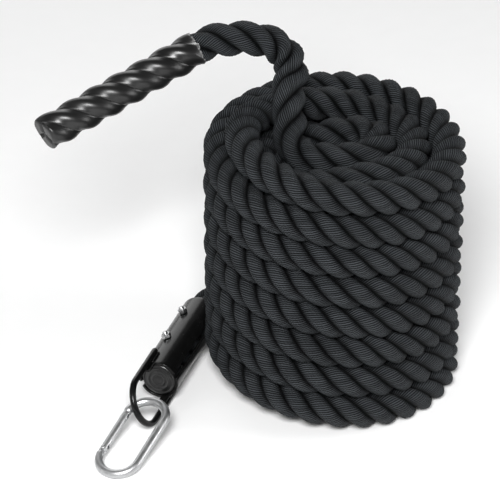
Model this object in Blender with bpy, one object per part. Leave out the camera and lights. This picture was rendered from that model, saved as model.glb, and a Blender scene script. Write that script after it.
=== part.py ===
"""Sled pulling rope: a coiled 38 mm three-strand rope with a rubber grip on its free end and a bolted end
bracket with a pull ring and a spring hook on its other end. Metres, +Z up, the floor at z = 0."""

import math

import bmesh
import bpy
import numpy as np
from mathutils import Euler, Matrix, Vector

# Whole object
SEAT_GAP = 0.0003
SHARP_ANGLE_DEG = 35.0
BEVEL_RESOLUTION_COUNT = 2
OVERRUN = 0.002
COIL_PLACE = (0.0929, 0.0377)

# Rope
ROPE_DIAMETER = 0.038
ROPE_RADIUS = ROPE_DIAMETER / 2
FLOOR_CUT_SHARE = 0.1
TUBE_STEP = 0.016
SMOOTHING_SAMPLES = 40
TUBE_SIDES = 12
END_LEAD_SHARE = 0.64

# Coil: three layers wound one inside the other, all turning clockwise seen from above
LAY_GAP = 0.0009
TURN_PITCH = ROPE_DIAMETER + LAY_GAP
OUTER_TURN_RADIUS = 0.128
MIDDLE_TURN_RADIUS = OUTER_TURN_RADIUS - TURN_PITCH
INNER_TURN_HALF_LENGTH = MIDDLE_TURN_RADIUS - TURN_PITCH
INNER_TURN_HALF_WIDTH = 0.035
COIL_LOW = ROPE_RADIUS - FLOOR_CUT_SHARE * ROPE_DIAMETER
START_AZIMUTH_DEG = 115.0
POINTS_A_TURN = 24
COIL_SIDES = 6
COIL_END_TURN = 21.8333
OUTER_TURNS = 7
TAIL_RUN_OUT = 0.0356
TAIL_TURN_RADIUS = OUTER_TURN_RADIUS + TAIL_RUN_OUT
ROUNDING_TURNS = 0.1
ROUNDING_SAMPLES = 17

# Climb of one outer turn, as shares of a turn: it lies level, then climbs over the start of the turn below
LEVEL_UNTIL_SHARE = 0.4306
CLIMBED_AT_SHARE = 0.8611

# Hand-chosen heights over the top and down the middle layer, as (turns travelled, height in turn pitches)
TOP_HEIGHT_SHARES = (
    (6.97, 7.0), (7.08, 7.22), (7.17, 7.22), (7.30, 7.03), (7.42, 7.03), (7.60, 7.42), (7.73, 7.82),
    (7.80, 7.80), (7.94, 7.26), (8.04, 7.20), (8.36, 7.12), (8.46, 7.30), (8.55, 7.30), (8.68, 6.86),
    (8.80, 6.46), (8.90, 6.18), (9.10, 6.00), (9.30, 5.76), (14.98, 0.0),
)

# Climb of one inner turn: it lies level until one share of a turn, then climbs one loose pitch
INNER_FIRST_TURN = 15
INNER_TURNS = 6
INNER_LEVEL_UNTIL_SHARE = 0.66
INNER_CLIMBED_AT_SHARE = 1.14
INNER_CLIMB_SHARE = 1.2
END_CLIMB_SHARES = ((21.71, 7.20), (22.00, 8.22))

# Turns travelled where each layer hands over to the next one inside it
TOP_HANDOVER_TURNS = (7.62, 7.92)
FLOOR_HANDOVER_TURNS = (14.85, 15.25)
TAIL_JOIN_TURNS = (-0.12, 0.12)

# Free end, route points chosen by hand, with the coil's axis as x = y = 0
FREE_END_ROUTE = (
    (-0.0475, 0.0600, 0.3460), (-0.0495, 0.0760, 0.3595), (-0.0585, 0.0845, 0.3710),
    (-0.0740, 0.0880, 0.3805), (-0.0940, 0.0875, 0.3855), (-0.1160, 0.0855, 0.3856),
)

# Grip sleeve, shrunk over the rope's free end so that the three strands show through
GRIP_MOUTH = (-0.1560, 0.0740, 0.3770)
GRIP_DIRECTION = (-0.834, -0.469, -0.289)
GRIP_LENGTH = 0.200
GRIP_WALL = 0.0015
GRIP_BORE_RADIUS = ROPE_RADIUS - 0.0010
GRIP_LOBE_DEPTH = 0.0022
GRIP_STRANDS = 3
GRIP_LAY = 0.092
GRIP_SIDES = 30
GRIP_RINGS = 34
GRIP_END_THICKNESS = 0.0030
GRIP_END_ROUND = 0.0040
# Rings of the rounded end, as shares of the rounding along, of the rounding inwards, and of the lobes' depth
GRIP_END_SHARES = ((0.7, 0.3, 0.7), (1.0, 1.0, 0.4))

# End bracket, in its own frame: y runs from the rope's end face back along the rope, z towards the nuts.
# It lies beside the coil, so its place is worked out from where its axis passes the outer turns.
BRACKET_HEADING_DEG = 18.6
BRACKET_ROLL_DEG = 24.0
BRACKET_HEIGHT = 0.0304
BRACKET_BESIDE_TURN = 0.03614
BRACKET_NEAREST_ALONG = 0.13712
BRACKET_ACROSS = (-math.cos(math.radians(BRACKET_HEADING_DEG)), math.sin(math.radians(BRACKET_HEADING_DEG)))
BRACKET_ALONG = (BRACKET_ACROSS[1], -BRACKET_ACROSS[0])
BRACKET_OUT = OUTER_TURN_RADIUS + BRACKET_BESIDE_TURN
BRACKET_PLACE = (
    BRACKET_ACROSS[0] * BRACKET_OUT - BRACKET_ALONG[0] * BRACKET_NEAREST_ALONG,
    BRACKET_ACROSS[1] * BRACKET_OUT - BRACKET_ALONG[1] * BRACKET_NEAREST_ALONG,
    BRACKET_HEIGHT,
)
SHELL_LENGTH = 0.147
SHELL_OUTER_RADIUS = 0.0235
SHELL_WALL = 0.0030
SHELL_BORE_RADIUS = SHELL_OUTER_RADIUS - SHELL_WALL
SHELL_SPLIT = 0.0060
SHELL_SEGMENTS = 22
TONGUE_WIDTH = 0.0110
TONGUE_LENGTH = 0.0160
BOLT_POSITIONS = (0.0560, 0.1120)
BOLT_DIAMETER = 0.0060
BOLT_CLEARANCE = 0.0003
BOLT_HEAD_DIAMETER = 0.0115
BOLT_HEAD_HEIGHT = 0.0038
BOLT_STUB = 0.0030
BOLT_DOME_STEPS = 5
NUT_ACROSS_FLATS = 0.0100
NUT_HEIGHT = 0.0050
NUT_CHAMFER = 0.0006
NUT_SIDES = 6
ROUND_SIDES = 24

# Rope end and its cap inside the bracket
CAP_WALL = 0.0015
CAP_DEPTH = 0.0120
CAP_RING_RADIUS = 0.0120
CAP_RING_WIDTH = 0.0022
CAP_RING_HEIGHT = 0.0008
CAP_ROUND = 0.0015

# Pull ring: a bent rod whose legs lie on the shells' crowns
RING_ROD_DIAMETER = 0.0075
RING_ROD_RADIUS = RING_ROD_DIAMETER / 2
RING_LEG_OFFSET = SHELL_OUTER_RADIUS + RING_ROD_RADIUS + SEAT_GAP
RING_LEG_ON_SHELL = 0.0230
RING_REACH = 0.0700
RING_BOW_POINTS = 18
RING_SIDES = 10

# Spring hook, in its own frame: y is the long way, towards its hinge end, and x points to the gate
HOOK_FROM_BRACKET = (-0.0264, -0.1005, -0.0094)
HOOK_PLACE = tuple(a + b for a, b in zip(BRACKET_PLACE, HOOK_FROM_BRACKET))
HOOK_HEADING_DEG = 152.6
HOOK_PITCH_DEG = -16.9
HOOK_ROLL_DEG = 1.5
HOOK_ROD_DIAMETER = 0.0100
HOOK_ROD_RADIUS = HOOK_ROD_DIAMETER / 2
HOOK_LENGTH = 0.1190
HOOK_WIDTH = 0.0564
HOOK_HALF_LENGTH = HOOK_LENGTH / 2 - HOOK_ROD_RADIUS
HOOK_HALF_WIDTH = HOOK_WIDTH / 2 - HOOK_ROD_RADIUS
HOOK_BEND_POINTS = 14
HOOK_SIDES = 16
HINGE_OFFSET = 0.0260
TANG_THICKNESS = 0.0040
TANG_LENGTH = 0.0100
TANG_RADIUS = 0.0042
TANG_TIP_STEPS = 10
RIVET_DIAMETER = 0.0030
PIN_SIDES = 16
RIVET_HEAD_DIAMETER = 0.0052
RIVET_HEAD_HEIGHT = 0.0011
LATCH_DEPTH = 0.0005
NOTCH_EXTRA = 0.0007
NOTCH_STEPS = 8
GATE_ROD_DIAMETER = 0.0090
GATE_ROD_RADIUS = GATE_ROD_DIAMETER / 2
GATE_END_GAP = 0.0014
GATE_END_BEVEL = 0.0015
GATE_BEVEL_STEPS = 4
GATE_SLOT_GAP = 0.0003
GATE_SLOT_REST = 0.0016
SPRING_BORE_RADIUS = 0.0021
SPRING_WIRE_RADIUS = 0.0003
SPRING_RADIUS = SPRING_BORE_RADIUS - SPRING_WIRE_RADIUS - SEAT_GAP
SPRING_CURL_COUNT = 9
SPRING_POINTS_A_CURL = 9
SPRING_SIDES = 6
SPRING_LENGTH = 0.0150
PLUNGER_LENGTH = 0.0070

# Colours, roughness and metallic value of each finish
FINISHES = {
    "rope": ((0.030, 0.031, 0.033), 0.80, 0.0),
    "grip_rubber": ((0.022, 0.022, 0.024), 0.35, 0.0),
    "cap_rubber": ((0.055, 0.056, 0.058), 0.55, 0.0),
    "black_paint": ((0.020, 0.020, 0.021), 0.40, 0.0),
    "zinc": ((0.72, 0.73, 0.74), 0.28, 1.0),
    "spring_steel": ((0.45, 0.45, 0.46), 0.35, 1.0),
}


def clear_scene():
    for thing in list(bpy.data.objects):
        bpy.data.objects.remove(thing, do_unlink=True)


def finish_material(name, finish):
    colour, roughness, metallic = FINISHES[finish]
    material = bpy.data.materials.new(name)
    material.use_nodes = True
    shader = material.node_tree.nodes["Principled BSDF"]
    shader.inputs["Base Color"].default_value = (*colour, 1.0)
    shader.inputs["Roughness"].default_value = roughness
    shader.inputs["Metallic"].default_value = metallic
    return material


def add_empty(name, place, rotation=None, parent=None):
    empty = bpy.data.objects.new(name, None)
    bpy.context.collection.objects.link(empty)
    empty.location = place
    if rotation is not None:
        empty.rotation_mode = rotation.order
        empty.rotation_euler = rotation
    empty.parent = parent
    return empty


def add_object(name, data, finish, parent):
    thing = bpy.data.objects.new(name, data)
    bpy.context.collection.objects.link(thing)
    data.materials.append(finish_material(name + "_finish", finish))
    thing.parent = parent
    return thing


def mesh_from_bmesh(name, shape):
    bmesh.ops.recalc_face_normals(shape, faces=shape.faces)
    mesh = bpy.data.meshes.new(name)
    shape.to_mesh(mesh)
    shape.free()
    mesh.shade_smooth()
    mesh.set_sharp_from_angle(angle=math.radians(SHARP_ANGLE_DEG))
    return mesh


def hide_cutter(cutter):
    cutter.hide_render = True
    cutter.display_type = "WIRE"


def cut(thing, cutter):
    hide_cutter(cutter)
    modifier = thing.modifiers.new("cut_" + cutter.name, "BOOLEAN")
    modifier.operation = "DIFFERENCE"
    modifier.object = cutter
    modifier.solver = "EXACT"


def keyed(turns, keys, rounding=ROUNDING_TURNS):
    """Straight runs between the keys, rounded by averaging over a span of turns."""
    table = np.array(keys, float)
    shifts = np.linspace(-rounding, rounding, ROUNDING_SAMPLES)
    weights = 1 - np.abs(shifts) / (rounding * (1 + 1 / ROUNDING_SAMPLES))
    values = np.interp(turns[:, None] + shifts[None, :], table[:, 0], table[:, 1])
    return (values * weights).sum(1) / weights.sum()


def coil_height_keys():
    keys = [(-1.0, 0.0)]
    for turn in range(OUTER_TURNS):
        keys.append((turn + LEVEL_UNTIL_SHARE, turn))
        keys.append((turn + CLIMBED_AT_SHARE, turn + 1))
    keys += list(TOP_HEIGHT_SHARES)
    for turn in range(INNER_TURNS):
        start = INNER_FIRST_TURN + turn
        keys.append((start + INNER_LEVEL_UNTIL_SHARE, turn * INNER_CLIMB_SHARE))
        keys.append((start + INNER_CLIMBED_AT_SHARE, (turn + 1) * INNER_CLIMB_SHARE))
    return keys + list(END_CLIMB_SHARES)


def coil_points(turns):
    """Centre line of the coil at the given numbers of turns travelled from the tail."""
    azimuth = math.radians(START_AZIMUTH_DEG) - 2 * math.pi * turns
    cosine = np.cos(azimuth)
    sine = np.sin(azimuth)
    height = COIL_LOW + TURN_PITCH * keyed(turns, coil_height_keys())
    top_start, top_end = TOP_HANDOVER_TURNS
    tail_start, tail_end = TAIL_JOIN_TURNS
    radius = keyed(turns, (
        (tail_start, TAIL_TURN_RADIUS), (tail_end, OUTER_TURN_RADIUS),
        (top_start, OUTER_TURN_RADIUS), (top_end, MIDDLE_TURN_RADIUS),
    ))
    floor_start, floor_end = FLOOR_HANDOVER_TURNS
    inner = keyed(turns, ((floor_start, 0), (floor_end, 1)))
    stretch = INNER_TURN_HALF_LENGTH - INNER_TURN_HALF_WIDTH
    inner_x = INNER_TURN_HALF_WIDTH * cosine + stretch * cosine * (3 - cosine**2) / 2
    inner_y = INNER_TURN_HALF_WIDTH * sine
    x = (1 - inner) * radius * cosine + inner * inner_x
    y = (1 - inner) * radius * sine + inner * inner_y
    return np.stack([x, y, height], axis=1)


def coil_route():
    """The coil's points, with one straight rope diameter at each end."""
    count = round(COIL_END_TURN * POINTS_A_TURN)
    turns = np.arange(count + 1) / POINTS_A_TURN
    points = coil_points(turns)
    start = points[0] + ROPE_DIAMETER * unit(points[0] - points[1])
    end = points[-1] + ROPE_DIAMETER * unit(points[-1] - points[-2])
    return np.concatenate([[start], points, [end]]), np.concatenate([[0.0], turns, [COIL_END_TURN]])


def least_gap(points, turns):
    """Least gap between stretches of the coil over half a turn apart, on points and mid points."""
    dense = np.concatenate([points, (points[1:] + points[:-1]) / 2])
    place = np.concatenate([turns, (turns[1:] + turns[:-1]) / 2])
    distance = np.linalg.norm(dense[:, None] - dense[None], axis=2)
    distance[np.abs(place[:, None] - place[None]) < 0.5] = np.inf
    return distance.min() - ROPE_DIAMETER


def unit(vector):
    return vector / np.linalg.norm(vector)


def smooth_route(route, step):
    """Points at even steps along a rounded curve through the route; its first and last runs stay straight."""
    ends = np.array(route, float)
    nodes = ends[1:-1]
    before = nodes[1] - 2 * np.linalg.norm(nodes[1] - nodes[0]) * unit(nodes[0] - ends[0])
    after = nodes[-2] + 2 * np.linalg.norm(nodes[-1] - nodes[-2]) * unit(ends[-1] - nodes[-1])
    guides = np.concatenate([[before], nodes, [after]])
    share = np.linspace(0, 1, SMOOTHING_SAMPLES, endpoint=False)[:, None]
    runs = []
    for a, b, c, d in zip(guides[:-3], guides[1:-2], guides[2:-1], guides[3:]):
        run = 2 * b + (c - a) * share + (2 * a - 5 * b + 4 * c - d) * share**2
        runs.append((run + (3 * b - a - 3 * c + d) * share**3) / 2)
    fine = np.concatenate(runs + [nodes[-1:]])
    along = np.concatenate([[0], np.cumsum(np.linalg.norm(np.diff(fine, axis=0), axis=1))])
    wanted = np.linspace(0, along[-1], math.ceil(along[-1] / step) + 1)
    curve = np.stack([np.interp(wanted, along, fine[:, axis]) for axis in range(3)], axis=1)
    return np.concatenate([ends[:1], curve, ends[-1:]])


def tube_curve(name, points, radius, sides):
    """A curve with a round bevel and filled caps through the points."""
    curve = bpy.data.curves.new(name, "CURVE")
    curve.dimensions = "3D"
    curve.bevel_depth = radius
    curve.bevel_resolution = sides // 2 - BEVEL_RESOLUTION_COUNT
    curve.render_resolution_u = 0
    curve.use_fill_caps = True
    curve.twist_mode = "MINIMUM"
    spline = curve.splines.new("POLY")
    spline.points.add(len(points) - 1)
    for target, point in zip(spline.points, points):
        target.co = (*point, 1.0)
    return curve


def curve_to_mesh(name, curve):
    """The evaluated mesh of a curve, as a mesh that can be cut."""
    carrier = bpy.data.objects.new(name + "_carrier", curve)
    bpy.context.collection.objects.link(carrier)
    graph = bpy.context.evaluated_depsgraph_get()
    mesh = bpy.data.meshes.new_from_object(carrier.evaluated_get(graph))
    bpy.data.objects.remove(carrier, do_unlink=True)
    return mesh


def make_floor_cutter(parent):
    """A slab under the floor that cuts the lowest turns flat."""
    shape = bmesh.new()
    half = OUTER_TURN_RADIUS + 2 * ROPE_DIAMETER
    bmesh.ops.create_cube(shape, size=1)
    bmesh.ops.scale(shape, vec=(2 * half, 2 * half, ROPE_DIAMETER), verts=shape.verts)
    bmesh.ops.translate(shape, vec=(0, 0, -ROPE_DIAMETER / 2), verts=shape.verts)
    cutter = bpy.data.objects.new("floor_cutter", mesh_from_bmesh("floor_cutter", shape))
    bpy.context.collection.objects.link(cutter)
    cutter.parent = parent
    return cutter


def make_coil(parent, cutter):
    points, turns = coil_route()
    print(f"coil least gap to itself {least_gap(points, turns) * 1000:.2f} mm")
    length = np.linalg.norm(np.diff(points, axis=0), axis=1).sum()
    print(f"coil rope length {length:.2f} m")
    mesh = curve_to_mesh("rope_coil", tube_curve("rope_coil", points, ROPE_RADIUS, COIL_SIDES))
    mesh.materials.clear()
    coil = add_object("rope_coil", mesh, "rope", parent)
    cut(coil, cutter)
    return points


def bracket_matrix():
    turn = Euler((0, math.radians(-BRACKET_ROLL_DEG), math.radians(-BRACKET_HEADING_DEG)), "XYZ")
    return Matrix.LocRotScale(Vector(BRACKET_PLACE), turn, None)


def make_tail(parent, coil_start, coil_next, cutter):
    """Rope from the bracket's back end to the coil's first turn."""
    frame = bracket_matrix()
    leave = frame @ Vector((0, SHELL_LENGTH + SEAT_GAP, 0))
    straight = frame @ Vector((0, SHELL_LENGTH + ROPE_RADIUS, 0))
    inward = unit(coil_start - coil_next)
    arrive = coil_start + inward * SEAT_GAP
    settle = coil_start + inward * ROPE_RADIUS
    route = [np.array(leave), np.array(straight), settle, arrive]
    points = smooth_route(route, TUBE_STEP)
    mesh = curve_to_mesh("rope_tail", tube_curve("rope_tail", points, ROPE_RADIUS, TUBE_SIDES))
    mesh.materials.clear()
    cut(add_object("rope_tail", mesh, "rope", parent), cutter)


def make_free_end(parent, coil_end, coil_before):
    """Rope from the coil's last turn up and over to the mouth of the grip."""
    outward = unit(coil_end - coil_before)
    mouth = np.array(GRIP_MOUTH)
    direction = unit(np.array(GRIP_DIRECTION))
    lead = ROPE_RADIUS * END_LEAD_SHARE
    route = [coil_end + outward * SEAT_GAP, coil_end + outward * lead, *map(np.array, FREE_END_ROUTE)]
    route += [mouth - direction * lead, mouth - direction * SEAT_GAP]
    points = smooth_route(route, TUBE_STEP)
    length = np.linalg.norm(np.diff(points, axis=0), axis=1).sum()
    print(f"free end rope length {length:.3f} m")
    curve = tube_curve("rope_free_end", points, ROPE_RADIUS, TUBE_SIDES)
    add_object("rope_free_end", curve, "rope", parent)


def ring_grid_mesh(name, rings, closed_start, closed_end):
    """A closed skin through rings of equally many points, with flat ends or a pole at each end."""
    shape = bmesh.new()
    rows = [[shape.verts.new(point) for point in ring] for ring in rings]
    for low, high in zip(rows[:-1], rows[1:]):
        for i in range(len(low)):
            j = (i + 1) % len(low)
            shape.faces.new((low[i], low[j], high[j], high[i]))
    if closed_start:
        shape.faces.new(list(reversed(rows[0])))
    if closed_end:
        shape.faces.new(rows[-1])
    return mesh_from_bmesh(name, shape)


def grip_ring(along, shrink, lobe_share):
    """One ring of the sleeve's outside: three lobes that turn with the rope's lay."""
    points = []
    for i in range(GRIP_SIDES):
        angle = 2 * math.pi * i / GRIP_SIDES
        wave = math.cos(GRIP_STRANDS * (angle - 2 * math.pi * along / GRIP_LAY))
        lobe = GRIP_LOBE_DEPTH * lobe_share * (wave - 1) / 2
        radius = ROPE_RADIUS + GRIP_WALL + lobe - shrink
        points.append((radius * math.cos(angle), radius * math.sin(angle), along))
    return points


def bore_ring(along, radius):
    angles = [2 * math.pi * i / GRIP_SIDES for i in range(GRIP_SIDES)]
    return [(radius * math.cos(angle), radius * math.sin(angle), along) for angle in angles]


def grip_frame(parent):
    direction = Vector(GRIP_DIRECTION).normalized()
    turn = direction.to_track_quat("Z", "Y").to_euler("XYZ")
    return add_empty("grip_frame", GRIP_MOUTH, turn, parent)


def make_grip(parent):
    """The sleeve is one rubber cup: lobed outside, round bore, closed end."""
    frame = grip_frame(parent)
    low = GRIP_LENGTH - GRIP_END_ROUND
    rings = []
    for i in range(GRIP_RINGS + 1):
        along = low * i / GRIP_RINGS
        rings.append(grip_ring(along, 0, 1))
    for along_share, shrink_share, lobe_share in GRIP_END_SHARES:
        along = low + GRIP_END_ROUND * along_share
        rings.append(grip_ring(along, GRIP_END_ROUND * shrink_share, lobe_share))
    bore = [bore_ring(0, GRIP_BORE_RADIUS), bore_ring(GRIP_LENGTH - GRIP_END_THICKNESS, GRIP_BORE_RADIUS)]
    shape = bmesh.new()
    outer = [[shape.verts.new(point) for point in ring] for ring in rings]
    inner = [[shape.verts.new(point) for point in ring] for ring in bore]
    skin = list(reversed(inner)) + outer
    for low, high in zip(skin[:-1], skin[1:]):
        for i in range(GRIP_SIDES):
            j = (i + 1) % GRIP_SIDES
            shape.faces.new((low[i], low[j], high[j], high[i]))
    shape.faces.new(inner[-1])
    shape.faces.new(outer[-1])
    add_object("grip_sleeve", mesh_from_bmesh("grip_sleeve", shape), "grip_rubber", frame)
    radius = GRIP_BORE_RADIUS - SEAT_GAP
    length = GRIP_LENGTH - GRIP_END_THICKNESS - SEAT_GAP
    core = ring_grid_mesh("rope_end_in_grip", [bore_ring(0, radius), bore_ring(length, radius)], True, True)
    add_object("rope_end_in_grip", core, "rope", frame)


def lathe(name, profile, sides=ROUND_SIDES):
    """Turns a profile of (radius, height) points about Z; a radius of zero closes at a pole."""
    shape = bmesh.new()
    rows = []
    for radius, height in profile:
        if radius == 0:
            rows.append([shape.verts.new((0, 0, height))])
            continue
        row = []
        for i in range(sides):
            angle = 2 * math.pi * i / sides
            row.append(shape.verts.new((radius * math.cos(angle), radius * math.sin(angle), height)))
        rows.append(row)
    for low, high in zip(rows[:-1], rows[1:]):
        for i in range(sides):
            j = (i + 1) % sides
            corners = [low[i % len(low)], low[j % len(low)], high[j % len(high)], high[i % len(high)]]
            unique = list(dict.fromkeys(corners))
            shape.faces.new(unique)
    return mesh_from_bmesh(name, shape)


def off_ridge():
    """A turn that keeps a cutter's corners off the ridges of a bar with as many sides."""
    return Euler((0, 0, math.pi / 2 / ROUND_SIDES), "XYZ")


def add_round_cutter(name, radius, length, parent, place, rotation=None):
    """A round cutter centred on its place, along its own Z."""
    profile = ((0, -length / 2), (radius, -length / 2), (radius, length / 2), (0, length / 2))
    cutter = bpy.data.objects.new(name, lathe(name, profile))
    bpy.context.collection.objects.link(cutter)
    cutter.parent = parent
    cutter.location = place
    if rotation is not None:
        cutter.rotation_euler = rotation
    return cutter


def shell_mesh(name, side):
    """Half of a split tube with a tongue on its crown, rolled from plate; side is 1 for the nut side."""
    open_angle = math.asin(SHELL_SPLIT / 2 / SHELL_OUTER_RADIUS)
    tongue_angle = math.asin(TONGUE_WIDTH / 2 / SHELL_OUTER_RADIUS)
    reach = math.pi / 2 - open_angle
    count = SHELL_SEGMENTS // 2 - 1
    steps = [tongue_angle + (reach - tongue_angle) * i / (count - 1) for i in range(count)]
    angles = [-a for a in reversed(steps)] + [0.0] + steps
    shape = bmesh.new()
    columns = []
    for angle in angles:
        on_tongue = abs(angle) <= tongue_angle
        stations = ((-TONGUE_LENGTH, 0, SHELL_LENGTH) if on_tongue else (0, SHELL_LENGTH))
        column = {}
        for along in stations:
            pair = []
            for radius in (SHELL_OUTER_RADIUS, SHELL_BORE_RADIUS):
                place = (radius * math.sin(angle), along, side * radius * math.cos(angle))
                pair.append(shape.verts.new(place))
            column[along] = pair
        columns.append(column)
    for left, right in zip(columns[:-1], columns[1:]):
        shared = sorted(set(left) & set(right))
        for low, high in zip(shared[:-1], shared[1:]):
            for skin in (0, 1):
                shape.faces.new((left[low][skin], right[low][skin], right[high][skin], left[high][skin]))
        for edge in (shared[0], shared[-1]):
            shape.faces.new((left[edge][0], left[edge][1], right[edge][1], right[edge][0]))
    for column in (columns[0], columns[-1]):
        shape.faces.new((column[0][0], column[0][1], column[SHELL_LENGTH][1], column[SHELL_LENGTH][0]))
    for column in columns:
        if -TONGUE_LENGTH in column and abs(column[0][0].co.x) > tongue_angle * SHELL_BORE_RADIUS / 2:
            low = column[-TONGUE_LENGTH]
            shape.faces.new((low[0], low[1], column[0][1], column[0][0]))
    return mesh_from_bmesh(name, shape)


def make_shells(frame):
    for name, side in (("clamp_shell_upper", 1), ("clamp_shell_lower", -1)):
        shell = add_object(name, shell_mesh(name, side), "black_paint", frame)
        for number, along in enumerate(BOLT_POSITIONS):
            radius = BOLT_DIAMETER / 2 + BOLT_CLEARANCE
            length = 4 * SHELL_OUTER_RADIUS
            cut(shell, add_round_cutter(f"{name}_hole_{number}", radius, length, frame, (0, along, 0)))


def lathe_along_rope(name, profile, finish, frame):
    """A turned piece whose axis is the rope's: heights of the profile run along y."""
    mesh = lathe(name, profile)
    mesh.transform(Matrix.Rotation(math.radians(-90), 4, "X"))
    return add_object(name, mesh, finish, frame)


def make_rope_end(frame):
    """The rope's end between the shells, and the cap that covers its cut face."""
    skirt_inner = SHELL_BORE_RADIUS - SEAT_GAP - CAP_WALL
    start = SEAT_GAP + CAP_WALL + SEAT_GAP
    neck_end = CAP_DEPTH + SEAT_GAP
    profile = (
        (0, start), (skirt_inner - SEAT_GAP, start), (skirt_inner - SEAT_GAP, neck_end),
        (SHELL_BORE_RADIUS - SEAT_GAP, neck_end), (SHELL_BORE_RADIUS - SEAT_GAP, SHELL_LENGTH),
        (0, SHELL_LENGTH),
    )
    rope = lathe_along_rope("rope_end_in_clamp", profile, "rope", frame)
    for number, along in enumerate(BOLT_POSITIONS):
        radius = BOLT_DIAMETER / 2 + BOLT_CLEARANCE
        length = 4 * SHELL_OUTER_RADIUS
        cut(rope, add_round_cutter(f"rope_hole_{number}", radius, length, frame, (0, along, 0), off_ridge()))
    outer = SHELL_BORE_RADIUS - SEAT_GAP
    face = SEAT_GAP
    ring_in = CAP_RING_RADIUS - CAP_RING_WIDTH / 2
    ring_out = CAP_RING_RADIUS + CAP_RING_WIDTH / 2
    raised = face - CAP_RING_HEIGHT
    cap = (
        (0, face), (ring_in, face), (ring_in, raised), (ring_out, raised), (ring_out, face),
        (outer - CAP_ROUND, face), (outer, face + CAP_ROUND), (outer, CAP_DEPTH), (skirt_inner, CAP_DEPTH),
        (skirt_inner, face + CAP_WALL), (0, face + CAP_WALL),
    )
    lathe_along_rope("rope_end_cap", cap, "cap_rubber", frame)


def make_bolts(frame):
    seat = SHELL_OUTER_RADIUS + SEAT_GAP
    tip = seat + NUT_HEIGHT + BOLT_STUB
    shank = BOLT_DIAMETER / 2
    head = BOLT_HEAD_DIAMETER / 2
    dome = []
    for i in range(BOLT_DOME_STEPS):
        angle = math.pi / 2 * i / BOLT_DOME_STEPS
        dome.append((head * math.cos(angle), -seat - BOLT_HEAD_HEIGHT * math.sin(angle)))
    profile = [(0, -seat - BOLT_HEAD_HEIGHT)] + list(reversed(dome)) + [(shank, -seat)]
    profile += [(shank, tip - NUT_CHAMFER), (shank - NUT_CHAMFER, tip), (0, tip)]
    nut_corner = NUT_ACROSS_FLATS / math.sqrt(3)
    bore = shank + BOLT_CLEARANCE
    for label, along in zip(("front", "rear"), BOLT_POSITIONS):
        name = f"clamp_bolt_{label}"
        bolt = add_object(name, lathe(name, profile), "zinc", frame)
        bolt.location = (0, along, 0)
        name = f"clamp_nut_{label}"
        nut_profile = (
            (bore, seat), (nut_corner - NUT_CHAMFER, seat), (nut_corner, seat + NUT_CHAMFER),
            (nut_corner, seat + NUT_HEIGHT - NUT_CHAMFER), (nut_corner - NUT_CHAMFER, seat + NUT_HEIGHT),
            (bore, seat + NUT_HEIGHT), (bore, seat),
        )
        nut = add_object(name, nut_mesh(name, nut_profile, bore), "zinc", frame)
        nut.location = (0, along, 0)


def nut_mesh(name, profile, bore):
    """A hexagon nut: six-sided outer rows joined to a six-sided bore."""
    shape = bmesh.new()
    rows = []
    for radius, height in profile[:-1]:
        row = []
        scale = 1 / math.cos(math.pi / NUT_SIDES) if radius == bore else 1
        for i in range(NUT_SIDES):
            angle = 2 * math.pi * i / NUT_SIDES
            place = (radius * scale * math.cos(angle), radius * scale * math.sin(angle), height)
            row.append(shape.verts.new(place))
        rows.append(row)
    rows.append(rows[0])
    for low, high in zip(rows[:-1], rows[1:]):
        for i in range(len(low)):
            j = (i + 1) % len(low)
            shape.faces.new((low[i], low[j], high[j], high[i]))
    return mesh_from_bmesh(name, shape)


def make_ring(frame):
    """The pull ring: two legs on the shells' crowns and a round bow beyond the rope's end."""
    bow_start = -(RING_REACH - RING_LEG_OFFSET)
    points = [(0, RING_LEG_ON_SHELL, RING_LEG_OFFSET), (0, 0, RING_LEG_OFFSET)]
    for i in range(RING_BOW_POINTS + 1):
        angle = math.pi * i / RING_BOW_POINTS
        points.append((0, bow_start - RING_LEG_OFFSET * math.sin(angle), RING_LEG_OFFSET * math.cos(angle)))
    points += [(0, 0, -RING_LEG_OFFSET), (0, RING_LEG_ON_SHELL, -RING_LEG_OFFSET)]
    curve = tube_curve("pull_ring", points, RING_ROD_RADIUS, RING_SIDES)
    add_object("pull_ring", curve, "black_paint", frame)


def make_bracket(parent):
    turn = Euler((0, math.radians(-BRACKET_ROLL_DEG), math.radians(-BRACKET_HEADING_DEG)), "XYZ")
    frame = add_empty("bracket_frame", BRACKET_PLACE, turn, parent)
    make_shells(frame)
    make_rope_end(frame)
    make_bolts(frame)
    make_ring(frame)


def box_cutter(name, low, high, parent):
    shape = bmesh.new()
    bmesh.ops.create_cube(shape, size=1)
    size = [b - a for a, b in zip(low, high)]
    middle = [(a + b) / 2 for a, b in zip(low, high)]
    bmesh.ops.scale(shape, vec=size, verts=shape.verts)
    bmesh.ops.translate(shape, vec=middle, verts=shape.verts)
    cutter = bpy.data.objects.new(name, mesh_from_bmesh(name, shape))
    bpy.context.collection.objects.link(cutter)
    cutter.parent = parent
    return cutter


def hook_body_line():
    """Centre line of the bent rod, from the nose round both bends to the hinge end."""
    straight = HOOK_HALF_LENGTH - HOOK_HALF_WIDTH
    nose_end = HINGE_OFFSET + TANG_LENGTH / 2
    points = [(HOOK_HALF_WIDTH, -nose_end, 0)]
    for i in range(HOOK_BEND_POINTS + 1):
        angle = math.pi * i / HOOK_BEND_POINTS
        points.append((HOOK_HALF_WIDTH * math.cos(angle), -straight - HOOK_HALF_WIDTH * math.sin(angle), 0))
    for i in range(HOOK_BEND_POINTS + 1):
        angle = math.pi * i / HOOK_BEND_POINTS
        points.append((-HOOK_HALF_WIDTH * math.cos(angle), straight + HOOK_HALF_WIDTH * math.sin(angle), 0))
    points.append((HOOK_HALF_WIDTH, nose_end, 0))
    return points


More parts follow.
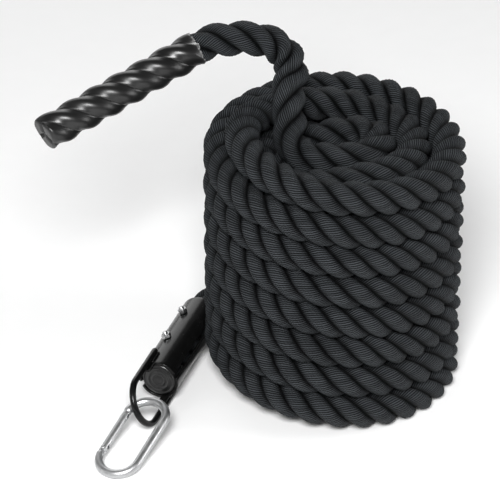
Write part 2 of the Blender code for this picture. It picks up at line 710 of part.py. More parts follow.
def flat_outline_mesh(name, outline, low, high):
    """An outline in x and y raised from one height to another."""
    shape = bmesh.new()
    corners = [shape.verts.new((x, y, low)) for x, y in outline]
    face = shape.faces.new(corners)
    raised = bmesh.ops.extrude_face_region(shape, geom=[face])["geom"]
    moved = [item for item in raised if isinstance(item, bmesh.types.BMVert)]
    bmesh.ops.translate(shape, vec=(0, 0, high - low), verts=moved)
    return mesh_from_bmesh(name, shape)


def arc(centre, radius, first_deg, last_deg, count):
    points = []
    for i in range(count + 1):
        angle = math.radians(first_deg + (last_deg - first_deg) * i / count)
        points.append((centre[0] + radius * math.cos(angle), centre[1] + radius * math.sin(angle)))
    return points


def tang_outline(hinge_end):
    """Flattened end of the rod: a round tip about the pin, and a straight run into the rod."""
    centre = (HOOK_HALF_WIDTH, HINGE_OFFSET)
    root = HINGE_OFFSET + TANG_LENGTH
    outline = arc(centre, TANG_RADIUS, 180, 360, TANG_TIP_STEPS)
    outline += [(HOOK_HALF_WIDTH + TANG_RADIUS, root), (HOOK_HALF_WIDTH - TANG_RADIUS, root)]
    return outline if hinge_end else [(x, -y) for x, y in reversed(outline)]


def join_bodies(thing, other):
    """Unites two solids in one named piece."""
    hide_cutter(other)
    modifier = thing.modifiers.new("join_" + other.name, "BOOLEAN")
    modifier.operation = "UNION"
    modifier.object = other
    modifier.solver = "EXACT"


def make_hook_body(frame):
    rod = tube_curve("hook_body", hook_body_line(), HOOK_ROD_RADIUS, HOOK_SIDES)
    mesh = curve_to_mesh("hook_body", rod)
    mesh.materials.clear()
    body = add_object("hook_body", mesh, "zinc", frame)
    for name, hinge_end in (("hinge_tang", True), ("nose_tang", False)):
        half = TANG_THICKNESS / 2
        tang = bpy.data.objects.new(name, flat_outline_mesh(name, tang_outline(hinge_end), -half, half))
        bpy.context.collection.objects.link(tang)
        tang.parent = frame
        join_bodies(body, tang)
    pin_hole = RIVET_DIAMETER / 2 + BOLT_CLEARANCE
    place = (HOOK_HALF_WIDTH, HINGE_OFFSET, 0)
    cut(body, add_round_cutter("rivet_hole", pin_hole, 4 * HOOK_ROD_RADIUS, frame, place))
    notch = RIVET_DIAMETER / 2 + NOTCH_EXTRA
    place = (HOOK_HALF_WIDTH - LATCH_DEPTH, -HINGE_OFFSET)
    outline = arc(place, notch, 270, 450, NOTCH_STEPS)
    inner = HOOK_HALF_WIDTH - TANG_RADIUS - OVERRUN
    outline += [(inner, place[1] + notch), (inner, place[1] - notch)]
    mesh = flat_outline_mesh("latch_notch", outline, -HOOK_ROD_RADIUS, HOOK_ROD_RADIUS)
    cutter = bpy.data.objects.new("latch_notch", mesh)
    bpy.context.collection.objects.link(cutter)
    cutter.parent = frame
    cut(body, cutter)


def make_gate(frame):
    """The gate: a round bar with a fork at each end, a spring bore, and rounded ears."""
    rod_end = HINGE_OFFSET + TANG_LENGTH / 2
    ear_end = rod_end - GATE_END_GAP
    profile = [(0, -ear_end)]
    bevel = GATE_END_BEVEL
    for i in range(GATE_BEVEL_STEPS + 1):
        angle = math.pi / 2 * i / GATE_BEVEL_STEPS
        radius = GATE_ROD_RADIUS - bevel + bevel * math.sin(angle)
        profile.append((radius, -ear_end + bevel - bevel * math.cos(angle)))
    profile += [(r, -h) for r, h in reversed(profile)]
    mesh = lathe("hook_gate", profile)
    mesh.transform(Matrix.Rotation(math.radians(-90), 4, "X"))
    pivot = add_empty("gate_pivot", (HOOK_HALF_WIDTH, HINGE_OFFSET, 0), None, frame)
    gate = add_object("hook_gate", mesh, "zinc", pivot)
    gate.location = (0, -HINGE_OFFSET, 0)
    slot_half = TANG_THICKNESS / 2 + GATE_SLOT_GAP
    slot_rest = HINGE_OFFSET - TANG_RADIUS - GATE_SLOT_REST
    wide = 2 * GATE_ROD_RADIUS
    past_end = ear_end + OVERRUN
    for name, low, high in (("hinge_slot", slot_rest, past_end), ("nose_slot", -past_end, -slot_rest)):
        left = HOOK_HALF_WIDTH - wide
        right = HOOK_HALF_WIDTH + wide
        cut(gate, box_cutter(name, (left, low, -slot_half), (right, high, slot_half), frame))
    bore = slot_rest - SPRING_LENGTH
    place = (HOOK_HALF_WIDTH, (bore + slot_rest + OVERRUN) / 2, 0)
    quarter = Euler((math.radians(90), 0, 0), "XYZ")
    length = slot_rest + OVERRUN - bore
    cut(gate, add_round_cutter("spring_bore", SPRING_BORE_RADIUS, length, frame, place, quarter))
    hole = RIVET_DIAMETER / 2 + BOLT_CLEARANCE
    for name, along in (("gate_rivet_hole", HINGE_OFFSET), ("gate_pin_hole", -HINGE_OFFSET)):
        place = (HOOK_HALF_WIDTH, along, 0)
        cut(gate, add_round_cutter(name, hole, 4 * HOOK_ROD_RADIUS, frame, place, off_ridge()))
    make_gate_pins(frame, pivot)
    make_gate_spring(pivot, bore)


def make_gate_pins(frame, pivot):
    shank = RIVET_DIAMETER / 2
    head = RIVET_HEAD_DIAMETER / 2
    ear = GATE_ROD_RADIUS + SEAT_GAP
    edge = RIVET_HEAD_HEIGHT / 2
    top = -ear - RIVET_HEAD_HEIGHT
    side = [(0, top), (head - edge, top), (head, -ear - edge), (head, -ear), (shank, -ear)]
    profile = side + [(r, -h) for r, h in reversed(side)]
    rivet = add_object("gate_rivet", lathe("gate_rivet", profile, PIN_SIDES), "zinc", frame)
    rivet.location = (HOOK_HALF_WIDTH, HINGE_OFFSET, 0)
    half = GATE_ROD_RADIUS
    pin_profile = ((0, -half), (shank, -half), (shank, half), (0, half))
    pin = add_object("gate_latch_pin", lathe("gate_latch_pin", pin_profile, PIN_SIDES), "zinc", pivot)
    pin.location = (0, -2 * HINGE_OFFSET, 0)


def make_gate_spring(pivot, bore):
    """The spring pushes a plunger against the rod's flattened end."""
    tip = -TANG_RADIUS - SEAT_GAP
    plunger_back = tip - PLUNGER_LENGTH
    radius = SPRING_BORE_RADIUS - SEAT_GAP
    nose = radius / 2
    profile = ((0, plunger_back), (radius, plunger_back), (radius, tip - nose), (nose, tip), (0, tip))
    mesh = lathe("gate_plunger", profile, PIN_SIDES)
    mesh.transform(Matrix.Rotation(math.radians(-90), 4, "X"))
    add_object("gate_plunger", mesh, "zinc", pivot)
    low = bore - HINGE_OFFSET + SEAT_GAP + SPRING_WIRE_RADIUS
    high = plunger_back - SEAT_GAP - SPRING_WIRE_RADIUS
    points = []
    count = SPRING_CURL_COUNT * SPRING_POINTS_A_CURL
    for i in range(count + 1):
        angle = 2 * math.pi * i / SPRING_POINTS_A_CURL
        along = low + (high - low) * i / count
        points.append((SPRING_RADIUS * math.cos(angle), along, SPRING_RADIUS * math.sin(angle)))
    curve = tube_curve("gate_spring", points, SPRING_WIRE_RADIUS, SPRING_SIDES)
    add_object("gate_spring", curve, "spring_steel", pivot)


def make_hook(parent):
    angles = (math.radians(HOOK_PITCH_DEG), math.radians(HOOK_ROLL_DEG), math.radians(HOOK_HEADING_DEG))
    frame = add_empty("hook_frame", HOOK_PLACE, Euler(angles, "YXZ"), parent)
    make_hook_body(frame)
    make_gate(frame)


def main():
    clear_scene()
    stand = add_empty("rope_stand", (*COIL_PLACE, 0))
    cutter = make_floor_cutter(stand)
    points = make_coil(stand, cutter)
    make_tail(stand, points[0], points[1], cutter)
    make_free_end(stand, points[-1], points[-2])
    make_grip(stand)
    make_bracket(stand)
    make_hook(stand)


main()
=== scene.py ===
"""A sled pulling rope in a plain studio: a thick laid rope wound in an upright coil, a rubber grip on its
free end, and a bolted clamp with a pull ring and a spring hook. Metres, +Z up, the floor at z = 0."""

import logging
import math
from dataclasses import dataclass
from enum import Enum

import bpy
import numpy as np
from mathutils import Euler, Matrix, Vector


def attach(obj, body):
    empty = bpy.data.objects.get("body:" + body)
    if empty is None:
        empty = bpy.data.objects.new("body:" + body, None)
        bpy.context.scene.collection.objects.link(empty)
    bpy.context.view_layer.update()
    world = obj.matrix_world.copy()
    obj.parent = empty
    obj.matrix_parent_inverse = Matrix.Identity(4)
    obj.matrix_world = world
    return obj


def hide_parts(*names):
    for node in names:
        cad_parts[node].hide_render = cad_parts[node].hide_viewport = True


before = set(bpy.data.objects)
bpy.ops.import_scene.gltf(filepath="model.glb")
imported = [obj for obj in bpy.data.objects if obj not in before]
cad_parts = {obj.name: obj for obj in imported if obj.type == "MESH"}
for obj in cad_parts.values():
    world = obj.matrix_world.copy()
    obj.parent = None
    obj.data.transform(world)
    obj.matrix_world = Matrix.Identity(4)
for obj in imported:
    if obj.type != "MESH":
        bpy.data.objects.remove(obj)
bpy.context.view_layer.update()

logging.basicConfig(level=logging.INFO, format="%(message)s")
log = logging.getLogger("rope")

Array = np.ndarray
Mesh = bpy.types.Mesh
Material = bpy.types.Material
Socket = bpy.types.NodeSocket
Piece = bpy.types.Object

MM = 0.001
FULL_TURN = 2 * math.pi
UP = np.array([0.0, 0.0, 1.0])
# Edges that bend more than this stay sharp
SHARP_EDGE = math.radians(38)
# Where the coil's axis stands, and the radius of its outer turns' centre line
COIL_PLACE = (0.0929, 0.0377, 0.0)
OUTER_TURN = 0.128
# The gap that the CAD's solids keep where they meet
SEAT_GAP = 0.0003


class Body(Enum):
    """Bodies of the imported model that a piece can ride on."""

    ROPE = "rope_and_bracket"
    HOOK = "hook"
    GATE = "gate"


class Slot(Enum):
    """Names of the material slots."""

    ROPE = "rope"
    GRIP = "grip_rubber"
    CAP = "cap_rubber"
    PAINT = "black_paint"
    ZINC = "zinc"
    SPRING = "spring_steel"


# Materials


class Shader:
    """The node tree of one material, built round its Principled shader."""

    def __init__(self, name: str) -> None:
        """Starts a material of that name."""
        self.material = bpy.data.materials.new(name)
        self.material.use_nodes = True
        self.tree = self.material.node_tree
        self.principled = self.tree.nodes["Principled BSDF"]

    def feed(self, socket: Socket, value: object) -> None:
        """Links an output to an input, or sets the input's value where a plain number or colour is given."""
        if isinstance(value, Socket):
            self.tree.links.new(value, socket)
        else:
            socket.default_value = value

    def surface(self, **inputs: object) -> None:
        """Feeds the Principled shader's inputs.

        Args:
            inputs: values by input name, with underscores for spaces.
        """
        for name, value in inputs.items():
            self.feed(self.principled.inputs[name.replace("_", " ")], value)

    def node(self, kind: str, inputs: dict[str | int, object], **settings: object) -> bpy.types.Node:
        """Adds a node.

        Args:
            kind: Blender's node type.
            inputs: values or sockets by input name or number.
            settings: the node's own properties.

        Returns:
            The new node.
        """
        made = self.tree.nodes.new(kind)
        for name, value in settings.items():
            setattr(made, name, value)
        for name, value in inputs.items():
            self.feed(made.inputs[name], value)
        return made

    def math(self, operation: str, *values: object) -> Socket:
        """One math node on up to three values, and its result socket."""
        made = self.node("ShaderNodeMath", dict(enumerate(values)), operation=operation)
        return made.outputs[0]

    def place(self) -> Socket:
        """The Object coordinates' socket."""
        return self.tree.nodes.new("ShaderNodeTexCoord").outputs["Object"]

    def noise(self, place: Socket, scale: float, detail: float = 3.0) -> Socket:
        """The factor socket of a Noise texture at a place, about 0.3 to 0.7 over most of it."""
        made = self.node("ShaderNodeTexNoise", {"Vector": place, "Scale": scale, "Detail": detail})
        return made.outputs["Fac"]

    def span(self, value: object, low: float, high: float, new_low: float, new_high: float) -> Socket:
        """A value moved from one range to another and held inside it."""
        feeds = {"Value": value, "From Min": low, "From Max": high, "To Min": new_low, "To Max": new_high}
        return self.node("ShaderNodeMapRange", feeds).outputs["Result"]

    def blend(self, share: object, first: object, second: object) -> Socket:
        """A colour between two, by share."""
        made = self.tree.nodes.new("ShaderNodeMix")
        made.data_type = "RGBA"
        self.feed(made.inputs["Factor"], share)
        self.feed(made.inputs[6], first)
        self.feed(made.inputs[7], second)
        return made.outputs[2]

    def bump(self, height: object, distance: float) -> Socket:
        """The normal of a height field, where one unit of height stands for distance metres."""
        made = self.node("ShaderNodeBump", {"Height": height, "Distance": distance, "Strength": 1.0})
        return made.outputs["Normal"]


def grey(level: float, warm: float = 0.0) -> tuple[float, float, float, float]:
    """A near-neutral colour, a little warmer or cooler by warm."""
    return (level * (1 + warm), level, level * (1 - warm), 1.0)


@dataclass(frozen=True)
class YarnFinish:
    """Matte black fibre: ribs of twisted yarn that follow each strand, from the piece's own UV map, with a
    painted highlight on each rib's crown and painted shade between ribs and in the strands' grooves.
    """

    # Colour of a rib's crown, which holds a painted highlight, and of the valleys between ribs, which hold
    # painted shade
    crown_highlight_level: float = 0.060
    valley_shade_level: float = 0.0010
    rib_height: float = 1.5 * MM
    fibre_height: float = 0.12 * MM
    ply_length: float = 3.4 * MM
    ply_twist: float = 9.0
    patch_scale: float = 14.0
    fluff_scale: float = 900.0
    fluff_share: float = 0.35
    roughness: float = 0.60

    def build(self) -> Material:
        """Makes the material.

        The map's u counts yarns round a strand and its v is metres along the rope. A rib's height is
        sin(pi * fraction of u); the fibres on it are sin(2 pi v / ply + twist u).
        """
        shader = Shader("black_yarn")
        yarn = shader.node("ShaderNodeUVMap", {}, uv_map="yarn")
        parts = shader.node("ShaderNodeSeparateXYZ", {0: yarn.outputs[0]})
        count, along = parts.outputs["X"], parts.outputs["Y"]
        rib = shader.math("SINE", shader.math("MULTIPLY", shader.math("FRACT", count), math.pi))
        which = shader.math("FLOOR", count)
        tone = shader.node("ShaderNodeTexWhiteNoise", {"W": which}, noise_dimensions="1D").outputs["Value"]
        twist = shader.math("MULTIPLY", count, self.ply_twist)
        fibre = shader.math("SINE", shader.math("MULTIPLY_ADD", along, FULL_TURN / self.ply_length, twist))
        place = shader.place()
        patches = shader.noise(place, self.patch_scale)
        fluff = shader.noise(place, self.fluff_scale, 2.0)
        groove_shade = shader.node("ShaderNodeAttribute", {}, attribute_name="groove_shade").outputs["Fac"]
        # Painted light: the share runs from painted shade between the ribs to a painted highlight on each
        # rib's crown; each yarn's tone and the broad patches are the fibre's own
        light = shader.math("MULTIPLY", shader.math("POWER", rib, 1.5), shader.span(tone, 0, 1, 0.7, 1.15))
        light = shader.math("MULTIPLY", light, shader.span(patches, 0.3, 0.7, 0.85, 1.12))
        # Painted shade: the colour falls to an eighth deep in the grooves between strands
        light = shader.math("MULTIPLY", light, shader.span(groove_shade, 0.03, 0.75, 1, 0.12))
        light = shader.math("MULTIPLY", light, shader.span(fibre, -1, 1, 0.88, 1.05))
        colour = shader.blend(light, grey(self.valley_shade_level, -0.09), grey(self.crown_highlight_level, -0.09))
        height = shader.math("MULTIPLY_ADD", fibre, self.fibre_height / self.rib_height, rib)
        height = shader.math("MULTIPLY_ADD", fluff, self.fluff_share, height)
        shader.surface(
            Base_Color=colour,
            Roughness=shader.span(fluff, 0.3, 0.7, self.roughness - 0.07, self.roughness + 0.1),
            Normal=shader.bump(height, self.rib_height),
            Specular_IOR_Level=0.10,
        )
        return shader.material


@dataclass(frozen=True)
class RubberFinish:
    """Smooth dark rubber with a fine grain, and a pale trimmed edge where the piece has a trim attribute."""

    name: str
    level: float
    roughness: float
    grain: float = 0.05 * MM
    trimmed: bool = False

    def build(self) -> Material:
        """Makes the material."""
        shader = Shader(self.name)
        place = shader.place()
        fine = shader.noise(place, 700.0, 4.0)
        broad = shader.noise(place, 38.0, 3.0)
        colour = shader.blend(broad, grey(self.level * 0.8), grey(self.level * 1.25))
        rough = shader.span(broad, 0.3, 0.7, self.roughness - 0.04, self.roughness + 0.06)
        if self.trimmed:
            trim = shader.node("ShaderNodeAttribute", {}, attribute_name="trim").outputs["Fac"]
            torn = shader.math("MULTIPLY", trim, shader.span(shader.noise(place, 420.0), 0.38, 0.6, 0.2, 1))
            colour = shader.blend(torn, colour, grey(0.30))
            rough = shader.math("MAXIMUM", rough, shader.math("MULTIPLY", torn, 0.8))
        height = shader.math("MULTIPLY_ADD", broad, 3.0, fine)
        shader.surface(Base_Color=colour, Roughness=rough, Normal=shader.bump(height, self.grain))
        return shader.material


@dataclass(frozen=True)
class PaintFinish:
    """Satin black paint over steel: a soft orange peel, dust in patches and small chips."""

    name: str = "satin_black_paint"
    level: float = 0.0035
    roughness: float = 0.24
    peel_height: float = 0.012 * MM

    def build(self) -> Material:
        """Makes the material."""
        shader = Shader(self.name)
        place = shader.place()
        peel = shader.noise(place, 520.0, 2.0)
        broad = shader.noise(place, 60.0, 5.0)
        chips = shader.span(shader.noise(place, 330.0, 4.0), 0.74, 0.76, 0, 1)
        colour = shader.blend(broad, grey(self.level * 0.7), grey(self.level * 1.5))
        colour = shader.blend(chips, colour, grey(0.16, 0.03))
        height = shader.math("MULTIPLY_ADD", chips, -0.8, peel)
        shader.surface(
            Base_Color=colour,
            Roughness=shader.span(broad, 0.3, 0.7, self.roughness - 0.03, self.roughness + 0.04),
            Normal=shader.bump(height, self.peel_height),
            Specular_IOR_Level=0.24,
        )
        return shader.material


@dataclass(frozen=True)
class PlatedFinish:
    """Bright plated steel with fine scratches and cloudy patches."""

    name: str
    level: float
    roughness: float
    scratch_height: float = 0.02 * MM

    def build(self) -> Material:
        """Makes the material."""
        shader = Shader(self.name)
        place = shader.place()
        cloud = shader.noise(place, 110.0, 4.0)
        stretched = shader.node("ShaderNodeMapping", {"Vector": place, "Scale": (900.0, 140.0, 900.0)})
        scratch = shader.noise(stretched.outputs[0], 1.0, 3.0)
        colour = shader.blend(cloud, grey(self.level * 0.86, -0.01), grey(min(1.0, self.level * 1.1), -0.01))
        rough = shader.span(cloud, 0.3, 0.7, self.roughness - 0.06, self.roughness + 0.1)
        rough = shader.math("MULTIPLY_ADD", shader.span(scratch, 0.5, 0.75, 0, 1), 0.12, rough)
        shader.surface(
            Base_Color=colour,
            Metallic=1.0,
            Roughness=rough,
            Normal=shader.bump(scratch, self.scratch_height),
        )
        return shader.material


# Surfaces


@dataclass(frozen=True)
class Path:
    """A line of ring centres with a frame at each: axis along it, side and up across it."""

    centres: Array
    axis: Array
    side: Array
    up: Array

    @classmethod
    def level(cls, centres: Array) -> "Path":
        """Frames of a line, (n, 3), whose up is +Z made square to the axis."""
        axis = normalised(np.gradient(centres, axis=0))
        up = normalised(UP - axis[:, 2:3] * axis)
        return cls(centres, axis, np.cross(up, axis), up)

    @classmethod
    def flat(cls, centres: Array, normal: Array) -> "Path":
        """Frames of a line, (n, 3), that lies in one plane, whose normal is used as up."""
        axis = normalised(np.gradient(centres, axis=0))
        up = np.broadcast_to(normalised(np.asarray(normal, float)[None])[0], axis.shape)
        return cls(centres, axis, np.cross(up, axis), up)

    def surface(self, across: Array, above: Array, ahead: Array | float = 0.0) -> Array:
        """Places a section on every ring: centre + side * across + up * above + axis * ahead.

        Args:
            across: distance along side, (n, m).
            above: distance along up, (n, m).
            ahead: distance along the axis, (n, m) or a number.

        Returns:
            The grid of points, (n, m, 3).
        """
        shift = np.broadcast_to(ahead, across.shape)
        return (
            self.centres[:, None]
            + self.side[:, None] * across[..., None]
            + self.up[:, None] * above[..., None]
            + self.axis[:, None] * shift[..., None]
        )


def normalised(vectors: Array) -> Array:
    """Rows of vectors made one long."""
    return vectors / np.linalg.norm(vectors, axis=-1, keepdims=True)


def points_at(x: Array | float, y: Array | float, z: Array | float) -> Array:
    """Points with these coordinates, each an array or one number for all of them."""
    return np.stack(np.broadcast_arrays(x, y, z), axis=-1)


def lengths_along(points: Array) -> Array:
    """Distance from the first point to each point along the line."""
    steps = np.linalg.norm(np.diff(points, axis=0), axis=1)
    return np.concatenate([[0.0], np.cumsum(steps)])


def resampled(points: Array, where: Array) -> Array:
    """Points of a line at the given distances along it."""
    along = lengths_along(points)
    return np.stack([np.interp(where, along, points[:, k]) for k in range(3)], axis=1)


def ring_angles(count: int) -> Array:
    """Angles of the points of a ring, in radians."""
    return np.linspace(0, FULL_TURN, count, endpoint=False)


def from_nearest(angle: Array, step: float) -> Array:
    """Angle from the nearest whole number of steps."""
    return (angle + step / 2) % step - step / 2


def lobe_radius(offset: float, back: float, angle: Array) -> Array:
    """Distance from an axis to an arc of radius back, whose centre lies offset away at angle 0.

    It is d cos a + sqrt(b^2 - (d sin a)^2), with d the offset and b the arc's radius.
    """
    return offset * np.cos(angle) + np.sqrt(back**2 - (offset * np.sin(angle)) ** 2)


def ring_faces(rows: int, columns: int) -> Array:
    """Quads, ((rows - 1) * columns, 4), of a grid that closes round its columns.

    They face outwards where the columns run anticlockwise.
    """
    i, j = np.meshgrid(np.arange(rows - 1), np.arange(columns), indexing="ij")
    after = (j + 1) % columns
    quads = [i * columns + j, i * columns + after, (i + 1) * columns + after, (i + 1) * columns + j]
    return np.stack(quads, axis=-1).reshape(-1, 4)


def pole_faces(ring: Array, pole: int, ahead: bool) -> Array:
    """Triangles from a ring to its pole; ahead is true at the far end of the grid."""
    after = np.roll(ring, -1)
    middle = np.full(len(ring), pole)
    return np.stack([middle, ring, after] if ahead else [middle, after, ring], axis=-1)


def smooth_mesh(name: str, points: Array, faces: list[list[int]]) -> Mesh:
    """A mesh of points, (n, 3), and faces, shaded smooth but for its sharp edges."""
    mesh = bpy.data.meshes.new(name)
    mesh.from_pydata(points.tolist(), [], faces)
    mesh.shade_smooth()
    mesh.set_sharp_from_angle(angle=SHARP_EDGE)
    return mesh


def mesh_of(name: str, points: Array, faces: list[Array]) -> Mesh:
    """A smooth mesh of faces given as arrays of vertex numbers, each with one number of corners."""
    return smooth_mesh(name, points, [face for block in faces for face in block.tolist()])


def flat_ended(name: str, grid: Array) -> Mesh:
    """The skin of a grid of rings, (n, m, 3), with one flat face on each end ring."""
    rows, columns = grid.shape[:2]
    first = np.arange(columns)[::-1][None]
    last = np.arange(columns)[None] + (rows - 1) * columns
    return mesh_of(name, grid.reshape(-1, 3), [ring_faces(rows, columns), first, last])


def closed_skin(name: str, grid: Array, poles: tuple[Array, Array] | None = None) -> Mesh:
    """The skin of a grid of rings with a pole at each end.

    Args:
        name: the mesh's name.
        grid: rings of points, (n, m, 3).
        poles: the first and the last pole, or None for the middles of the end rings.

    Returns:
        The mesh.
    """
    rows, columns = grid.shape[:2]
    start, end = poles or (grid[0].mean(0), grid[-1].mean(0))
    points = np.concatenate([grid.reshape(-1, 3), [start, end]])
    first = np.arange(columns)
    last = first + (rows - 1) * columns
    count = rows * columns
    return mesh_of(name, points, [
        ring_faces(rows, columns), pole_faces(first, count, False), pole_faces(last, count + 1, True),
    ])


def joined(name: str, meshes: list[Mesh]) -> Mesh:
    """One mesh of several, which are removed."""
    points, faces, base = [], [], 0
    for mesh in meshes:
        places = np.empty(len(mesh.vertices) * 3)
        mesh.vertices.foreach_get("co", places)
        points.append(places.reshape(-1, 3))
        faces += [[base + v for v in face.vertices] for face in mesh.polygons]
        base += len(mesh.vertices)
        bpy.data.meshes.remove(mesh)
    return smooth_mesh(name, np.concatenate(points), faces)


def moved(points: Array, matrix: Matrix) -> Array:
    """Points of a sub-assembly's own frame, in the row frame."""
    m = np.array(matrix, float)
    return points @ m[:3, :3].T + m[:3, 3]


def add_attribute(mesh: Mesh, name: str, values: Array) -> None:
    """Gives every vertex of a mesh a number under a name."""
    layer = mesh.attributes.new(name, "FLOAT", "POINT")
    layer.data.foreach_set("value", np.ascontiguousarray(values, np.float32).ravel())


def add_piece(
    mesh: Mesh, material: Material, body: Body, nodes: tuple[str, ...] = ()
) -> Piece:
    """Adds a finished piece to the scene.

    Args:
        mesh: its mesh, in the row frame; the piece takes its name.
        material: its material.
        body: the body it rides on.
        nodes: CAD nodes that it stands for.

    Returns:
        The piece.
    """
    piece = bpy.data.objects.new(mesh.name, mesh)
    bpy.context.collection.objects.link(piece)
    mesh.materials.append(material)
    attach(piece, body.value)
    if nodes:
        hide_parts(*nodes)
    log.info("%s: %d faces on %s", piece.name, len(mesh.polygons), body.value)
    return piece


# The rope

# The rope's size where the clamp and the sleeve squeeze it
CLAMPED_SIZE = 0.93
SLEEVED_SIZE = 0.955


@dataclass(frozen=True)
class RopeRoute:
    """The rope's centre line: tail, three wound layers and free end, as in the part's source but settled."""

    diameter: float = 0.038
    pitch: float = 0.0389
    middle_radius: float = 0.0891
    inner_half_length: float = 0.0502
    inner_half_width: float = 0.035
    low: float = 0.0152
    start_azimuth_deg: float = 115.0
    end_turn: float = 21.8333
    outer_turns: int = 7
    tail_radius: float = 0.1636
    rounding: float = 0.1
    rounding_samples: int = 17
    level_until: float = 0.4306
    climbed_at: float = 0.8611
    top_heights: tuple[tuple[float, float], ...] = (
        (6.97, 7.0), (7.08, 7.22), (7.17, 7.22), (7.30, 7.03), (7.42, 7.03), (7.60, 7.42), (7.73, 7.82),
        (7.80, 7.80), (7.94, 7.26), (8.04, 7.20), (8.36, 7.12), (8.46, 7.30), (8.55, 7.30), (8.68, 6.86),
        (8.80, 6.46), (8.90, 6.18), (9.10, 6.00), (9.30, 5.76), (14.98, 0.0),
    )
    inner_first: int = 15
    inner_turns: int = 6
    inner_level_until: float = 0.66
    inner_climbed_at: float = 1.14
    inner_climb: float = 1.2
    end_climbs: tuple[tuple[float, float], ...] = ((21.71, 7.20), (22.00, 8.22))
    top_handover: tuple[float, float] = (7.62, 7.92)
    floor_handover: tuple[float, float] = (14.85, 15.25)
    tail_join: tuple[float, float] = (-0.12, 0.12)
    tail_bend: tuple[float, float, float, float] = (0.025, 0.055, 0.13, 0.17)
    free_end: tuple[tuple[float, float, float], ...] = (
        (-0.0475, 0.0600, 0.3460), (-0.0495, 0.0760, 0.3590), (-0.0585, 0.0845, 0.3697),
        (-0.0740, 0.0880, 0.3785), (-0.0940, 0.0875, 0.3835), (-0.1160, 0.0855, 0.3840),
    )
    settled_height: float = 0.3
    back_lift: float = 0.0060
    back_azimuth_deg: float = 132.0
    foot_bulge: float = 0.0065
    foot_height: float = 0.06
    lead_share: float = 0.64
    points_a_turn: int = 24
    fine_points_a_turn: int = 240

    def keyed(self, turns: Array, keys: tuple | list) -> Array:
        """Straight runs between keys, each value averaged over a tenth of a turn to both sides.

        Args:
            turns: turns travelled from the tail.
            keys: pairs of turns and value.

        Returns:
            The value at each of the turns.
        """
        table = np.array(keys, float)
        shifts = np.linspace(-self.rounding, self.rounding, self.rounding_samples)
        weights = 1 - np.abs(shifts) / (self.rounding * (1 + 1 / self.rounding_samples))
        values = np.interp(turns[:, None] + shifts[None, :], table[:, 0], table[:, 1])
        return (values * weights).sum(1) / weights.sum()

    def height_keys(self) -> list[tuple[float, float]]:
        """Keys of the coil's height in pitches: a climb a turn outside, over the top, down, and up inside."""
        keys = [(-1.0, 0.0)]
        for turn in range(self.outer_turns):
            keys.append((turn + self.level_until, turn))
            keys.append((turn + self.climbed_at, turn + 1))
        keys += list(self.top_heights)
        for turn in range(self.inner_turns):
            start = self.inner_first + turn
            keys.append((start + self.inner_level_until, turn * self.inner_climb))
            keys.append((start + self.inner_climbed_at, (turn + 1) * self.inner_climb))
        return keys + list(self.end_climbs)

    def coil(self, turns: Array) -> Array:
        """Centre line of the coil about its own axis.

        The azimuth is its start less 360 degrees a turn. x = (1 - m) r cos + m inner x and
        y = (1 - m) r sin + m inner y, where r goes from the tail's to the outer to the middle radius, m goes
        from 0 to 1 at the inner layer, and the inner turns are ovals.

        Args:
            turns: turns travelled from the tail.

        Returns:
            Points, (n, 3).
        """
        azimuth = math.radians(self.start_azimuth_deg) - FULL_TURN * turns
        cosine, sine = np.cos(azimuth), np.sin(azimuth)
        height = self.low + self.pitch * self.keyed(turns, self.height_keys())
        radius = self.keyed(turns, (
            (self.tail_join[0], self.tail_radius), (self.tail_join[1], OUTER_TURN),
            (self.top_handover[0], OUTER_TURN), (self.top_handover[1], self.middle_radius),
        ))
        inner = self.keyed(turns, ((self.floor_handover[0], 0), (self.floor_handover[1], 1)))
        stretch = self.inner_half_length - self.inner_half_width
        inner_x = self.inner_half_width * cosine + stretch * cosine * (3 - cosine**2) / 2
        inner_y = self.inner_half_width * sine
        x = (1 - inner) * radius * cosine + inner * inner_x
        y = (1 - inner) * radius * sine + inner * inner_y
        return self.settled(points_at(x, y, height), azimuth, 1 - inner)

    def settled(self, points: Array, azimuth: Array, loose: Array) -> Array:
        """The coil as it stands in the photograph: a little higher at the back left, its foot drawn forward.

        z grows by lift (z / settled height) ((1 + cos(azimuth - back)) / 2)^4 and y drops by
        bulge e^(-z / foot) where the rope runs in front, both in full where loose is 1.

        Args:
            points: the even coil, (n, 3).
            azimuth: the azimuth of each point, in radians.
            loose: 1 in the outer and middle layers and 0 in the inner one.

        Returns:
            Points, (n, 3).
        """
        towards_back = (1 + np.cos(azimuth - math.radians(self.back_azimuth_deg))) / 2
        lift = self.back_lift * points[:, 2] / self.settled_height * towards_back**4 * loose
        front = np.clip(-np.sin(azimuth), 0, 1) ** 2 * np.exp(-points[:, 2] / self.foot_height) * loose
        return points + points_at(0, -self.foot_bulge * front, lift)

    def eased(self, route: list, step: float) -> Array:
        """A rounded curve through route points, with its first and last runs straight.

        Each run between points b and c, with neighbours a and d, is
        (2b + (c - a) t + (2a - 5b + 4c - d) t^2 + (3b - a - 3c + d) t^3) / 2.

        Args:
            route: points of the route.
            step: distance between the points of the result.

        Returns:
            Points, (n, 3).
        """
        ends = np.array(route, float)
        nodes = ends[1:-1]
        first_lead = normalised(nodes[0] - ends[0])
        last_lead = normalised(ends[-1] - nodes[-1])
        before = nodes[1] - 2 * np.linalg.norm(nodes[1] - nodes[0]) * first_lead
        after = nodes[-2] + 2 * np.linalg.norm(nodes[-1] - nodes[-2]) * last_lead
        guides = np.concatenate([[before], nodes, [after]])
        share = np.linspace(0, 1, 40, endpoint=False)[:, None]
        a, b, c, d = (guides[k : len(guides) - 3 + k, None] for k in range(4))
        runs = 2 * b + (c - a) * share + (2 * a - 5 * b + 4 * c - d) * share**2
        runs = (runs + (3 * b - a - 3 * c + d) * share**3) / 2
        fine = np.concatenate([runs.reshape(-1, 3), nodes[-1:]])
        along = lengths_along(fine)[-1]
        curve = resampled(fine, np.linspace(0, along, math.ceil(along / step) + 1))
        return np.concatenate([ends[:1], curve, ends[-1:]])

